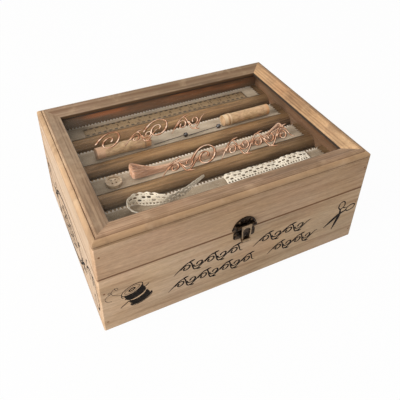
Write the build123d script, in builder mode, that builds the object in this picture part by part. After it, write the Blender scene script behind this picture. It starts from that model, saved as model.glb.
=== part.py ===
from build123d import *

import os
from math import pi, sqrt

# Wooden sewing box with a hinged lid. The lid is a shallow glazed case that shows haberdashery
# on four stepped slats; the base is divided into six compartments.
# Millimetres. X runs along the box, -Y is the front, +Z is up.
# The origin is on the table, under the middle of the box.

# Case: overall sizes and boards
box_length = 240.0
box_depth = 180.0
box_height = 100.0
base_height = 61.0
wall = 9.0
corner_radius = 1.2
edge_ease = 0.5

# Bottom panels, held in grooves on all four boards
base_panel_thickness = 4.0
base_panel_low = 4.0
lid_panel_thickness = 3.0
lid_panel_low = base_height + 3.0
groove_depth = 4.0
groove_play = 0.1

# Compartment dividers, halved over each other and let into the boards
divider_thickness = 5.0
divider_drop = 7.0
divider_slot_depth = 2.0
divider_play = 0.1
cross_divider_spacing = 76.0

# Glazed frame on top of the lid
frame_width = 18.0
frame_thickness = 7.0
bead_radius = 3.6
bead_foot = 1.6
quirk = 0.5
ridge_start = 5.2
ridge_width = 1.2
frame_fall = 3.6
glass_rabbet_width = 6.0
glass_rabbet_depth = 1.0
glass_thickness = 2.0
glass_play = 0.5
glass_bead_width = 5.0
glass_bead_height = 3.5
glass_bead_round = 2.8

# Display slats inside the lid
slat_count = 4
slat_thickness = 9.0
slat_flat = 20.2
slat_end_play = 0.2
slat_edge = 0.6
slat_set_back = 2.0

# Felt strips and what lies on them
felt_end_margin = 7.0
felt_width = 19.6
felt_thickness = 1.0
soft_gap = 0.2
tape_length = 173.0
tape_width = 12.5
tape_thickness = 0.4
case_length = 50.0
case_radius = 5.3
case_ring_radius = 5.7
case_ring_width = 1.4
case_cap_length = 6.0
pin_length = 31.5
pin_point_cut = 0.2
pin_diameter = 0.7
pin_head_diameter = 4.0
pin_head_cut = 0.8
pin_head_sides = 12
button_diameter = 14.0
button_thickness = 3.0
button_rim = 1.8
button_dish = 0.9
button_hole_diameter = 1.7
button_hole_spacing = 3.6
button_hole_sides = 12
floss_diameter = 1.0
skein_layers = 4
skein_steps = 3
skein_turn_spacing = 139.0
skein_waist_length = 92.0
skein_waist_pitch = 1.55
skein_waist_rise = 1.55
skein_end_inner = 1.9
skein_end_pitch = 1.7
skein_end_rise = 3.7
lace_thickness = 0.8
lace_width = 12.5
lace_tip_height = 6.0
lace_wave_length = 28.0
lace_wave_count = 3
lace_wave_height = 1.3

# Places of the haberdashery: distance along the box, and from the back of its slat's felt
tape_middle = 2.0
case_middles = (-60.0, 65.0)
case_set_back = 15.0
pin_head_places = (0.5, 35.0)
pin_set_back = 16.5
button_place = -81.0
button_set_back = 11.5
skein_middle = 9.0
skein_waist_set_back = 14.0
skein_end_set_back = 10.9
lace_loop_start = -58.0
lace_loop_left = -84.0
lace_loop_right = -66.0
lace_loop_front = 18.6
lace_loop_back = 4.1
lace_bend = (-47.0, 11.1)
lace_tip = (-12.0, 1.5)
lace_length_start = 4.0
lace_length_set_back = 1.0

# Nails in the corners of the case
corner_nail_inset = 3.6
corner_nail_diameter = 1.8
corner_nail_length = 22.0
base_nail_heights = (10.0, 44.0)
lid_nail_heights = (84.0,)
nail_play = 0.05
nail_sides = 8

# Butt hinges on the back
hinge_spacing = 140.0
leaf_width = 28.0
leaf_height = 11.5
leaf_thickness = 1.0
leaf_corner_cut = 1.6
knuckle_radius = 2.2
knuckle_stand_off = 0.4
middle_knuckle_width = 9.7
knuckle_gap = 0.3
hinge_pin_radius = 1.0
running_play = 0.05
stop_nib_reach = 3.2
stop_nib_thickness = 1.2
stop_nib_width = 7.0
small_nail_diameter = 1.2
small_nail_length = 6.5
small_nail_head_diameter = 2.6
small_nail_head_height = 0.7
small_nail_head_cut = 0.4
hinge_nail_offset = 9.0
hinge_nail_drop = 7.0

# Latch on the front: fan plate on the lid, hasp that swings from it, catch plate on the base
plate_thickness = 1.0
fan_radius = 10.4
fan_centre_rise = 3.0
fan_foot_rise = 0.8
fan_ear_radius = 1.9
fan_ear_place = 9.3
fan_groove_place = 7.6
fan_groove_length = 3.4
fan_groove_width = 0.8
fan_groove_depth = 0.4
fan_groove_count = 5
hasp_axis_rise = 6.0
hasp_knuckle_radius = 1.5
hasp_knuckle_stand_off = 0.3
hasp_knuckle_half_width = 4.6
fan_knuckle_width = 3.0
latch_pin_radius = 0.6
hasp_top_half_width = 4.6
hasp_tip_half_width = 3.9
hasp_length = 14.6
hasp_rim_width = 1.3
hasp_rim_height = 0.8
hasp_curl_radius = 1.4
hasp_slot_width = 3.2
hasp_slot_length = 5.0
hasp_slot_rise = 5.0
fan_nail_offset = 5.4
fan_nail_rise = 9.6
catch_nail_offset = 6.9
catch_nail_drop = 4.5
catch_half_width = 9.6
catch_height = 7.8
catch_drop = 0.6
catch_corner_cut = 1.2
catch_bead_radius = 1.0
catch_bead_half_length = 3.4
catch_groove_length = 2.4
catch_groove_width = 0.8
catch_groove_depth = 0.4
catch_groove_inset = 2.6
catch_groove_pitch = 1.6
catch_groove_count = 2
catch_clearance = 0.3

# Worked out from the sizes above
half_length = box_length / 2
half_depth = box_depth / 2
inner_length = box_length - 2 * wall
inner_depth = box_depth - 2 * wall
frame_low = box_height - frame_thickness
glass_high = frame_low + glass_rabbet_depth
glass_low = glass_high - glass_thickness
lid_floor = lid_panel_low + lid_panel_thickness
felt_low = lid_floor + slat_thickness
felt_high = felt_low + felt_thickness
base_floor = base_panel_low + base_panel_thickness
divider_height = base_height - base_floor - divider_drop
slat_pitch = (inner_depth - 4 * slat_end_play) / slat_count
felt_length = inner_length - 2 * felt_end_margin
hinge_axis_y = half_depth + knuckle_radius + knuckle_stand_off
hasp_axis_y = -(half_depth + plate_thickness + hasp_knuckle_stand_off + hasp_knuckle_radius)
hasp_axis_z = base_height + hasp_axis_rise
hasp_back_y = -(half_depth + plate_thickness + catch_bead_radius + catch_clearance)
hardware_reach = hinge_axis_y + stop_nib_reach

# Faces that nails and plates are set on, with local X along the box and local Y up
front_face = Plane(origin=(0, -half_depth, 0), x_dir=(1, 0, 0), z_dir=(0, -1, 0))
back_face = Plane(origin=(0, half_depth, 0), x_dir=(-1, 0, 0), z_dir=(0, 1, 0))

os.makedirs("parts", exist_ok=True)


def write(part, name):
    part.label = name
    export_step(part, f"parts/{name}.step")


def felt_back(tier):
    """Y of the back edge of the felt on a tier, counted from 0 at the back of the lid."""
    return inner_depth / 2 - slat_set_back - tier * slat_pitch


# Corner brads, through the front and back boards into the ends of the side boards. All nails are
# eight-sided here, and with play they are the holes that the nails go in.
corner_nail_x = half_length - corner_nail_inset


def corner_nails(heights, play=0.0):
    with BuildPart() as brads:
        for face in (front_face, back_face):
            with BuildSketch(face):
                with Locations(*[(side * corner_nail_x, z) for side in (-1, 1) for z in heights]):
                    RegularPolygon(corner_nail_diameter / 2 + play, nail_sides)
            extrude(amount=-corner_nail_length - play)
    return brads.part


base_corner_nails = corner_nails(base_nail_heights)
base_corner_nail_holes = corner_nails(base_nail_heights, nail_play)
lid_corner_nails = corner_nails(lid_nail_heights)
lid_corner_nail_holes = corner_nails(lid_nail_heights, nail_play)
write(base_corner_nails, "base_corner_nails")
write(lid_corner_nails, "lid_corner_nails")

# Small nails that hold the hinges and the latch, with their heads on the plates
hinge_nail_places = [
    hinge + side * hinge_nail_offset
    for hinge in (-hinge_spacing / 2, hinge_spacing / 2)
    for side in (-1, 1)
]


def small_nails(face, spots, play=0.0):
    with BuildPart() as group:
        with BuildSketch(face.offset(plate_thickness)):
            with Locations(*spots):
                RegularPolygon(small_nail_diameter / 2 + play, nail_sides)
        extrude(amount=-plate_thickness - small_nail_length - play)
        if not play:
            with BuildSketch(face.offset(plate_thickness)):
                with Locations(*spots):
                    RegularPolygon(small_nail_head_diameter / 2, nail_sides)
            extrude(amount=small_nail_head_height)
            heads = group.faces().filter_by(face).group_by(Axis(face.origin, face.z_dir))[-1]
            chamfer(heads.edges(), small_nail_head_cut)
    return group.part


def hinge_nails(height, play=0.0):
    return small_nails(back_face, [(x, height) for x in hinge_nail_places], play)


base_hinge_nail_height = base_height - hinge_nail_drop
lid_hinge_nail_height = base_height + hinge_nail_drop
fan_nail_spots = [(side * fan_nail_offset, base_height + fan_nail_rise) for side in (-1, 1)]
catch_nail_spots = [(side * catch_nail_offset, base_height - catch_nail_drop) for side in (-1, 1)]
hinge_base_nails = hinge_nails(base_hinge_nail_height)
hinge_lid_nails = hinge_nails(lid_hinge_nail_height)
latch_lid_nails = small_nails(front_face, fan_nail_spots)
latch_catch_nails = small_nails(front_face, catch_nail_spots)
write(hinge_base_nails, "hinge_base_nails")
write(hinge_lid_nails, "hinge_lid_nails")
write(latch_lid_nails, "latch_lid_nails")
write(latch_catch_nails, "latch_catch_nails")


def panel(low, thickness, play=0.0):
    """Plywood panel; with play it is the groove that the panel slides into."""
    reach = 2 * (groove_depth + play)
    with BuildPart() as sheet:
        with BuildSketch(Plane.XY.offset(low - play)):
            Rectangle(inner_length - 2 * groove_play + reach, inner_depth - 2 * groove_play + reach)
        extrude(amount=thickness + 2 * play)
    return sheet.part


base_bottom_panel = panel(base_panel_low, base_panel_thickness)
base_groove = panel(base_panel_low, base_panel_thickness, groove_play)
lid_bottom_panel = panel(lid_panel_low, lid_panel_thickness)
lid_groove = panel(lid_panel_low, lid_panel_thickness, groove_play)
write(base_bottom_panel, "base_bottom_panel")
write(lid_bottom_panel, "lid_bottom_panel")

# Dividers: one along the box and two across it, with a halved joint at each crossing
long_divider_length = inner_length + 2 * (divider_slot_depth - divider_play)
cross_divider_length = inner_depth + 2 * (divider_slot_depth - divider_play)
cross_places = (-cross_divider_spacing / 2, cross_divider_spacing / 2)
halving_height = base_floor + divider_height / 2

with BuildPart() as long_divider:
    with BuildSketch(Plane.XY.offset(base_floor)):
        Rectangle(long_divider_length, divider_thickness)
    extrude(amount=divider_height)
    with BuildSketch(Plane.XY.offset(halving_height - divider_play)):
        with Locations(*[(x, 0) for x in cross_places]):
            Rectangle(divider_thickness + 2 * divider_play, divider_thickness)
    extrude(amount=divider_height, mode=Mode.SUBTRACT)
write(long_divider.part, "long_divider")

cross_dividers = []
for x, name in zip(cross_places, ("left_cross_divider", "right_cross_divider")):
    with BuildPart() as cross_divider:
        with BuildSketch(Plane.XY.offset(base_floor)):
            with Locations((x, 0)):
                Rectangle(divider_thickness, cross_divider_length)
        extrude(amount=divider_height)
        with BuildSketch(Plane.XY.offset(base_floor)):
            with Locations((x, 0)):
                Rectangle(divider_thickness, divider_thickness + 2 * divider_play)
        extrude(amount=halving_height - base_floor, mode=Mode.SUBTRACT)
    cross_dividers.append(cross_divider.part)
    write(cross_divider.part, name)

# Housings in the base boards for the divider ends, open at the top so that the dividers drop in
with BuildPart() as divider_housings:
    with BuildSketch(Plane.XY.offset(base_floor)):
        Rectangle(inner_length + 2 * divider_slot_depth, divider_thickness + 2 * divider_play)
        with Locations(*[(x, 0) for x in cross_places]):
            Rectangle(divider_thickness + 2 * divider_play, inner_depth + 2 * divider_slot_depth)
    extrude(amount=base_height - base_floor)


def long_board(low, high, side, cuts):
    """Front (side -1) or back (side 1) board, as long as the box, with its cuts taken out."""
    with BuildPart() as board:
        with BuildSketch(Plane.XY.offset(low)):
            with Locations((0, side * (half_depth - wall / 2))):
                Rectangle(box_length, wall)
        extrude(amount=high - low)
        outer = board.faces().sort_by(Axis.Y)[0 if side < 0 else -1]
        fillet(outer.edges().filter_by(Axis.Z), corner_radius)
        outer = board.faces().filter_by(Axis.Y).sort_by(Axis.Y)[0 if side < 0 else -1]
        chamfer(outer.edges().filter_by(Axis.X), edge_ease)
        for cut in cuts:
            add(cut, mode=Mode.SUBTRACT)
    return board.part


def side_board(low, high, side, cuts):
    """Left (side -1) or right (side 1) board, held between the front and back boards."""
    with BuildPart() as board:
        with BuildSketch(Plane.XY.offset(low)):
            with Locations((side * (half_length - wall / 2), 0)):
                Rectangle(wall, inner_depth)
        extrude(amount=high - low)
        outer = board.faces().sort_by(Axis.X)[0 if side < 0 else -1]
        chamfer(outer.edges().filter_by(Axis.Y), edge_ease)
        for cut in cuts:
            add(cut, mode=Mode.SUBTRACT)
    return board.part


base_cuts = [base_groove, divider_housings.part, base_corner_nail_holes]
catch_nail_holes = small_nails(front_face, catch_nail_spots, nail_play)
base_hinge_nail_holes = hinge_nails(base_hinge_nail_height, nail_play)
write(long_board(0, base_height, -1, base_cuts + [catch_nail_holes]), "base_front_board")
write(long_board(0, base_height, 1, base_cuts + [base_hinge_nail_holes]), "base_back_board")
write(side_board(0, base_height, -1, base_cuts), "base_left_board")
write(side_board(0, base_height, 1, base_cuts), "base_right_board")

lid_cuts = [lid_groove, lid_corner_nail_holes]
fan_nail_holes = small_nails(front_face, fan_nail_spots, nail_play)
lid_hinge_nail_holes = hinge_nails(lid_hinge_nail_height, nail_play)
write(long_board(base_height, frame_low, -1, lid_cuts + [fan_nail_holes]), "lid_front_board")
write(long_board(base_height, frame_low, 1, lid_cuts + [lid_hinge_nail_holes]), "lid_back_board")
write(side_board(base_height, frame_low, -1, lid_cuts), "lid_left_board")
write(side_board(base_height, frame_low, 1, lid_cuts), "lid_right_board")

# Glazed frame: one moulding, mitred at the corners. Local X runs inwards from the outer face.
with BuildPart() as rounded_block:
    with BuildSketch(Plane.XY.offset(frame_low)):
        RectangleRounded(box_length, box_depth, corner_radius)
    extrude(amount=frame_thickness)

bead_start = bead_foot + quirk
bead_top = bead_start + bead_radius


def frame_moulding(inwards, along, outer_middle, length, name):
    with BuildPart() as rail:
        section = Plane(origin=outer_middle, x_dir=inwards, z_dir=along)
        with BuildSketch(section):
            with BuildLine():
                Polyline((0, 0), (0, bead_foot), (quirk, bead_foot + quirk / 2), (0, bead_start))
                RadiusArc((0, bead_start), (bead_radius, bead_top), bead_radius)
                Polyline(
                    (bead_radius, bead_top),
                    (bead_radius + quirk, bead_top - quirk),
                    (ridge_start, frame_thickness),
                    (ridge_start + ridge_width, frame_thickness),
                    (frame_width, frame_thickness - frame_fall),
                    (frame_width, glass_rabbet_depth),
                    (frame_width - glass_rabbet_width, glass_rabbet_depth),
                    (frame_width - glass_rabbet_width, 0),
                    (0, 0),
                )
            make_face()
        extrude(amount=length / 2, both=True)
        for end in (-1, 1):
            corner = outer_middle + along * (end * length / 2)
            split(bisect_by=Plane(origin=corner, z_dir=inwards + along * end), keep=Keep.BOTTOM)
        add(rounded_block.part, mode=Mode.INTERSECT)
    write(rail.part, name)


x_dir, y_dir = Vector(1, 0, 0), Vector(0, 1, 0)
frame_moulding(y_dir, x_dir, Vector(0, -half_depth, frame_low), box_length, "frame_front_moulding")
frame_moulding(-y_dir, -x_dir, Vector(0, half_depth, frame_low), box_length, "frame_back_moulding")
frame_moulding(x_dir, -y_dir, Vector(-half_length, 0, frame_low), box_depth, "frame_left_moulding")
frame_moulding(-x_dir, y_dir, Vector(half_length, 0, frame_low), box_depth, "frame_right_moulding")

# Glass, and the four beads under it that hold it up against the rabbet
glass_inset = frame_width - glass_rabbet_width + glass_play
with BuildPart() as glass_pane:
    with BuildSketch(Plane.XY.offset(glass_low)):
        Rectangle(box_length - 2 * glass_inset, box_depth - 2 * glass_inset)
    extrude(amount=glass_thickness)
write(glass_pane.part, "glass_pane")


def glass_bead(along, middle_x, middle_y, inwards, length, name):
    """Quarter-rounded strip against a lid board, its round edge towards the display."""
    with BuildPart() as bead:
        section = Plane(
            origin=(middle_x, middle_y, glass_low - glass_bead_height), x_dir=inwards, z_dir=along
        )
        with BuildSketch(section) as outline:
            with Locations((glass_bead_width / 2, glass_bead_height / 2)):
                Rectangle(glass_bead_width, glass_bead_height)
            corner = outline.vertices().sort_by(Axis.X)[-2:].sort_by(Axis.Y)[0]
            fillet(corner, glass_bead_round)
        extrude(amount=length / 2, both=True)
    write(bead.part, name)


short_bead = inner_depth - 2 * glass_bead_width
glass_bead(x_dir, 0, -inner_depth / 2, y_dir, inner_length, "front_glass_bead")
glass_bead(-x_dir, 0, inner_depth / 2, -y_dir, inner_length, "back_glass_bead")
glass_bead(-y_dir, -inner_length / 2, 0, x_dir, short_bead, "left_glass_bead")
glass_bead(y_dir, inner_length / 2, 0, -x_dir, short_bead, "right_glass_bead")

# Display slats with a quarter-round nose towards the front, and a felt strip on each
for tier in range(slat_count):
    back = felt_back(tier)
    with BuildPart() as slat:
        with BuildSketch(Plane.YZ):
            with BuildLine():
                Polyline(
                    (back - slat_flat - slat_thickness, lid_floor),
                    (back + slat_edge, lid_floor),
                    (back + slat_edge, felt_low),
                    (back - slat_flat, felt_low),
                )
                RadiusArc(
                    (back - slat_flat, felt_low),
                    (back - slat_flat - slat_thickness, lid_floor),
                    -slat_thickness,
                )
            make_face()
        extrude(amount=inner_length / 2 - slat_end_play, both=True)
    write(slat.part, f"display_slat_{tier + 1}")

    with BuildPart() as felt:
        with BuildSketch(Plane.XY.offset(felt_low)):
            with Locations((0, back - felt_width / 2)):
                Rectangle(felt_length, felt_width)
        extrude(amount=felt_thickness)
    write(felt.part, f"felt_strip_{tier + 1}")

# Tape measure, flat on the front of the first felt
with BuildPart() as tape_measure:
    with BuildSketch(Plane.XY.offset(felt_high)):
        with Locations((tape_middle, felt_back(0) - felt_width + tape_width / 2)):
            Rectangle(tape_length, tape_width)
    extrude(amount=tape_thickness)
write(tape_measure.part, "tape_measure")


# Hinges: a leaf on the base with two knuckles, a leaf on the lid with one between them, a pin.
# A nib on the lid's knuckle meets the base leaf and stops the lid a little past upright.
hinge_axis_plane = Plane(origin=(0, hinge_axis_y, base_height), x_dir=(0, 1, 0), z_dir=(1, 0, 0))
outer_knuckle_width = (leaf_width - middle_knuckle_width) / 2 - knuckle_gap
outer_knuckle_place = (leaf_width - outer_knuckle_width) / 2
knuckle_relief = knuckle_radius + knuckle_stand_off + knuckle_gap


def hinge_leaf(place, upper, nail_holes):
    """Leaf on the back face with its knuckles; upper is the lid's leaf, with the middle knuckle."""
    rise = leaf_height / 2 if upper else -leaf_height / 2
    knuckles = [(0.0, middle_knuckle_width)]
    reliefs = [
        (-outer_knuckle_place, outer_knuckle_width + 2 * knuckle_gap),
        (outer_knuckle_place, outer_knuckle_width + 2 * knuckle_gap),
    ]
    if not upper:
        knuckles = [(-outer_knuckle_place, outer_knuckle_width), (outer_knuckle_place, outer_knuckle_width)]
        reliefs = [(0.0, middle_knuckle_width + 2 * knuckle_gap)]
    with BuildPart() as leaf:
        with BuildSketch(back_face):
            with Locations((-place, base_height + rise)):
                Rectangle(leaf_width, leaf_height)
        extrude(amount=leaf_thickness)
        far = leaf.edges().filter_by(Axis.Y).group_by(Axis.Z)[-1 if upper else 0]
        chamfer(far, leaf_corner_cut)
        with BuildSketch(back_face):
            with Locations(*[(-place - x, base_height) for x, _ in reliefs]):
                Rectangle(reliefs[0][1], 2 * knuckle_relief)
        extrude(amount=leaf_thickness, mode=Mode.SUBTRACT)
        for x, width in knuckles:
            with BuildSketch(hinge_axis_plane.offset(place + x)):
                Circle(knuckle_radius)
            extrude(amount=width / 2, both=True)
        if upper:
            with BuildSketch(hinge_axis_plane.offset(place)):
                with Locations((stop_nib_reach / 2, 0)):
                    Rectangle(stop_nib_reach, stop_nib_thickness)
            extrude(amount=stop_nib_width / 2, both=True)
        with BuildSketch(hinge_axis_plane.offset(place)):
            Circle(hinge_pin_radius + running_play)
        extrude(amount=leaf_width, both=True, mode=Mode.SUBTRACT)
        add(nail_holes, mode=Mode.SUBTRACT)
    return leaf.part


for place, side in ((-hinge_spacing / 2, "left"), (hinge_spacing / 2, "right")):
    write(hinge_leaf(place, False, base_hinge_nail_holes), f"{side}_hinge_base_leaf")
    write(hinge_leaf(place, True, lid_hinge_nail_holes), f"{side}_hinge_lid_leaf")
    with BuildPart() as hinge_pin:
        with BuildSketch(hinge_axis_plane.offset(place - leaf_width / 2)):
            Circle(hinge_pin_radius)
        extrude(amount=leaf_width)
    write(hinge_pin.part, f"{side}_hinge_pin")

# Latch. The fan plate on the lid carries two knuckles that stand off it on short feet.
hasp_axis_plane = Plane(origin=(0, hasp_axis_y, hasp_axis_z), x_dir=(0, 1, 0), z_dir=(1, 0, 0))
fan_knuckle_place = hasp_knuckle_half_width + knuckle_gap + fan_knuckle_width / 2
fan_centre = base_height + fan_centre_rise
fan_foot = base_height + fan_foot_rise

with BuildPart() as latch_lid_plate:
    with BuildSketch(front_face):
        with Locations((0, fan_centre)):
            Circle(fan_radius)
            Rectangle(2 * fan_radius, 2 * (fan_centre - fan_foot))
        with Locations((0, fan_foot - fan_radius)):
            Rectangle(2 * fan_radius, 2 * fan_radius, mode=Mode.SUBTRACT)
        with Locations(*[(side * fan_ear_place, fan_foot + fan_ear_radius) for side in (-1, 1)]):
            Circle(fan_ear_radius)
    extrude(amount=plate_thickness)
    with BuildSketch(front_face.offset(plate_thickness)):
        with Locations((0, fan_centre)):
            with PolarLocations(fan_groove_place, fan_groove_count, 36, 108, endpoint=True):
                Rectangle(fan_groove_length, fan_groove_width)
    extrude(amount=-fan_groove_depth, mode=Mode.SUBTRACT)
    for side in (-1, 1):
        with BuildSketch(hasp_axis_plane.offset(side * fan_knuckle_place)):
            Circle(hasp_knuckle_radius)
            with Locations(((hasp_knuckle_radius + hasp_knuckle_stand_off) / 2, 0)):
                Rectangle(hasp_knuckle_radius + hasp_knuckle_stand_off, hasp_knuckle_radius)
        extrude(amount=fan_knuckle_width / 2, both=True)
    with BuildSketch(hasp_axis_plane):
        Circle(latch_pin_radius + running_play)
    extrude(amount=fan_radius, both=True, mode=Mode.SUBTRACT)
    add(fan_nail_holes, mode=Mode.SUBTRACT)
write(latch_lid_plate.part, "latch_lid_plate")

with BuildPart() as latch_pin:
    with BuildSketch(hasp_axis_plane.offset(-fan_knuckle_place - fan_knuckle_width / 2)):
        Circle(latch_pin_radius)
    extrude(amount=2 * fan_knuckle_place + fan_knuckle_width)
write(latch_pin.part, "latch_pin")

# Hasp: an arched plate with a raised rim and a slot, a knuckle at its top and a curled tip
hasp_tip_z = hasp_axis_z - hasp_length
hasp_face = Plane(origin=(0, hasp_back_y, 0), x_dir=(1, 0, 0), z_dir=(0, -1, 0))
curl_y = -(hardware_reach - hasp_curl_radius)

with BuildPart() as latch_hasp:
    with BuildSketch(hasp_face) as hasp_outline:
        with BuildLine():
            Polyline(
                (-hasp_tip_half_width, hasp_tip_z),
                (hasp_tip_half_width, hasp_tip_z),
                (hasp_top_half_width, hasp_axis_z),
            )
            Line((hasp_top_half_width, hasp_axis_z), (-hasp_top_half_width, hasp_axis_z))
            Line((-hasp_top_half_width, hasp_axis_z), (-hasp_tip_half_width, hasp_tip_z))
        make_face()
    extrude(amount=plate_thickness + hasp_rim_height)
    with BuildSketch(hasp_face.offset(plate_thickness)):
        with BuildLine():
            Polyline(
                (-hasp_tip_half_width + hasp_rim_width, hasp_tip_z),
                (hasp_tip_half_width - hasp_rim_width, hasp_tip_z),
                (hasp_top_half_width - hasp_rim_width, hasp_axis_z - hasp_top_half_width),
            )
            RadiusArc(
                (hasp_top_half_width - hasp_rim_width, hasp_axis_z - hasp_top_half_width),
                (-hasp_top_half_width + hasp_rim_width, hasp_axis_z - hasp_top_half_width),
                -(hasp_top_half_width - hasp_rim_width),
            )
            Line(
                (-hasp_top_half_width + hasp_rim_width, hasp_axis_z - hasp_top_half_width),
                (-hasp_tip_half_width + hasp_rim_width, hasp_tip_z),
            )
        make_face()
    extrude(amount=hasp_rim_height, mode=Mode.SUBTRACT)
    with BuildSketch(hasp_face):
        with Locations((0, hasp_tip_z + hasp_slot_rise)):
            SlotOverall(hasp_slot_length, hasp_slot_width, rotation=90)
    extrude(amount=plate_thickness, mode=Mode.SUBTRACT)
    with BuildSketch(hasp_axis_plane):
        Circle(hasp_knuckle_radius)
    extrude(amount=hasp_knuckle_half_width, both=True)
    curl_plane = Plane(origin=(0, curl_y, hasp_tip_z), x_dir=(0, 1, 0), z_dir=(1, 0, 0))
    with BuildSketch(curl_plane):
        Circle(hasp_curl_radius)
    extrude(amount=hasp_tip_half_width, both=True)
    with BuildSketch(hasp_axis_plane):
        Circle(latch_pin_radius + running_play)
    extrude(amount=fan_radius, both=True, mode=Mode.SUBTRACT)
write(latch_hasp.part, "latch_hasp")

# Catch plate on the base, with ribbed ends and the bead that the hasp snaps over
catch_high = base_height - catch_drop
catch_middle = catch_high - catch_height / 2
catch_bead_z = hasp_tip_z + hasp_slot_rise
with BuildPart() as latch_catch_plate:
    with BuildSketch(front_face) as catch_outline:
        with Locations((0, catch_middle)):
            Rectangle(2 * catch_half_width, catch_height)
        chamfer(catch_outline.vertices(), catch_corner_cut)
    extrude(amount=plate_thickness)
    bead_plane = Plane(
        origin=(0, -half_depth - plate_thickness, catch_bead_z), x_dir=(0, 1, 0), z_dir=(1, 0, 0)
    )
    with BuildSketch(bead_plane):
        Circle(catch_bead_radius)
    extrude(amount=catch_bead_half_length, both=True)
    with BuildSketch(Plane.YZ):
        with Locations((-half_depth + catch_bead_radius, catch_bead_z)):
            Rectangle(2 * catch_bead_radius, 4 * catch_bead_radius)
    extrude(amount=catch_half_width, both=True, mode=Mode.SUBTRACT)
    with BuildSketch(front_face.offset(plate_thickness)):
        for side in (-1, 1):
            for rise in (-1, 1):
                groove_middle = catch_middle + rise * (catch_height / 2 - catch_groove_inset)
                with Locations((side * catch_half_width, groove_middle)):
                    with GridLocations(1, catch_groove_pitch, 1, catch_groove_count):
                        Rectangle(catch_groove_length, catch_groove_width)
    extrude(amount=-catch_groove_depth, mode=Mode.SUBTRACT)
    add(catch_nail_holes, mode=Mode.SUBTRACT)
write(latch_catch_plate.part, "latch_catch_plate")

# Needle cases: a turned body and the cap that closes it, with a ring on each side of the joint
case_axis_y = felt_back(1) - case_set_back
case_axis_z = felt_high + soft_gap + case_ring_radius


def turned(plane, joint, end, name):
    """Turned piece from its ring at the joint to its plain end; local X of the plane is the axis."""
    ring_end = joint + case_ring_width * (1 if end > joint else -1)
    with BuildPart() as piece:
        with BuildSketch(plane):
            with BuildLine():
                Polyline(
                    (joint, 0),
                    (joint, case_ring_radius),
                    (ring_end, case_ring_radius),
                    (ring_end, case_radius),
                    (end, case_radius),
                    (end, 0),
                    close=True,
                )
            make_face()
        revolve(axis=Axis(plane.origin, plane.x_dir))
    write(piece.part, name)


for middle, side, cap_side in zip(case_middles, ("left", "right"), (1, -1)):
    case_plane = Plane(
        origin=(middle - cap_side * case_length / 2, case_axis_y, case_axis_z),
        x_dir=(cap_side, 0, 0),
        z_dir=(0, -cap_side, 0),
    )
    case_joint = case_length - case_cap_length
    turned(case_plane, case_joint, 0, f"{side}_needle_case_body")
    turned(case_plane, case_joint, case_length, f"{side}_needle_case_cap")

# Two ball-headed pins on the second felt, points to the left and resting on the felt
pin_head_radius = pin_head_diameter / 2
pin_fall = pin_head_radius - pin_diameter / 2
pin_run = sqrt(pin_length**2 - pin_fall**2)


def pin_plane(place, along):
    """Plane across a pin, at a distance along it from the middle of its head."""
    middle = (place, felt_back(1) - pin_set_back, felt_high + soft_gap + pin_head_radius)
    return Plane(origin=middle, z_dir=(-pin_run, 0, -pin_fall)).offset(along)


with BuildPart() as pin_heads:
    with BuildSketch(*[pin_plane(place, -pin_head_radius) for place in pin_head_places]):
        RegularPolygon(pin_head_radius, pin_head_sides)
    extrude(amount=pin_head_diameter)
    chamfer(pin_heads.faces().filter_by(pin_plane(0, 0)).edges(), pin_head_cut)
with BuildPart() as pin_shafts:
    with BuildSketch(*[pin_plane(place, pin_head_radius) for place in pin_head_places]):
        RegularPolygon(pin_diameter / 2, nail_sides)
    extrude(amount=pin_length - pin_head_radius)
    points = pin_shafts.faces().filter_by(pin_plane(0, 0)).sort_by(Axis.X)[::2]
    chamfer(points.edges(), pin_point_cut)
write(pin_heads.part, "pin_heads")
write(pin_shafts.part, "pin_shafts")

# Button with a rim and four holes, flat on the third felt
button_plane = Plane(origin=(button_place, felt_back(2) - button_set_back, felt_high + soft_gap))
with BuildPart() as button:
    with BuildSketch(button_plane):
        Circle(button_diameter / 2)
    extrude(amount=button_thickness)
    with BuildSketch(button_plane.offset(button_thickness)):
        Circle(button_diameter / 2 - button_rim)
    extrude(amount=-button_dish, mode=Mode.SUBTRACT)
    with BuildSketch(button_plane):
        with GridLocations(button_hole_spacing, button_hole_spacing, 2, 2):
            RegularPolygon(button_hole_diameter / 2, button_hole_sides)
    extrude(amount=button_thickness, mode=Mode.SUBTRACT)
write(button.part, "button")

# Skein of floss on the third felt: one length in loops, drawn in along its middle and open at both
# ends. Layer by layer it spirals in and out, and it climbs a layer where the spiral turns back.
skein_run_count = skein_layers * skein_steps + 1
skein_waist_y = felt_back(2) - skein_waist_set_back
skein_end_y = felt_back(2) - skein_end_set_back
skein_low = felt_high + soft_gap + floss_diameter / 2


def skein_run(run):
    """Side of a run, and its two end points and two waist points, in the order of the floss."""
    side = 1 if run % 2 == 0 else -1
    level = abs(skein_steps - run % (2 * skein_steps))
    before = max(0, (run - 1) // skein_steps)
    after = min(skein_layers - 1, run // skein_steps)
    end_y = skein_end_y + side * (skein_end_inner + level * skein_end_pitch)
    waist_y = skein_waist_y + side * (1 + level) * skein_waist_pitch / 2
    turn_reach = side * skein_turn_spacing / 2
    waist_reach = side * skein_waist_length / 2
    return side, (
        Vector(skein_middle - turn_reach, end_y, skein_low + before * skein_end_rise),
        Vector(skein_middle - waist_reach, waist_y, skein_low + before * skein_waist_rise),
        Vector(skein_middle + waist_reach, waist_y, skein_low + after * skein_waist_rise),
        Vector(skein_middle + turn_reach, end_y, skein_low + after * skein_end_rise),
    )


def ease_across(start, end, side):
    """Two arcs in an S, both ends along X."""
    middle = (start + end) / 2
    first = TangentArc(start, middle, tangent=(side, 0, 0))
    TangentArc(middle, end, tangent=first % 1)


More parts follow.
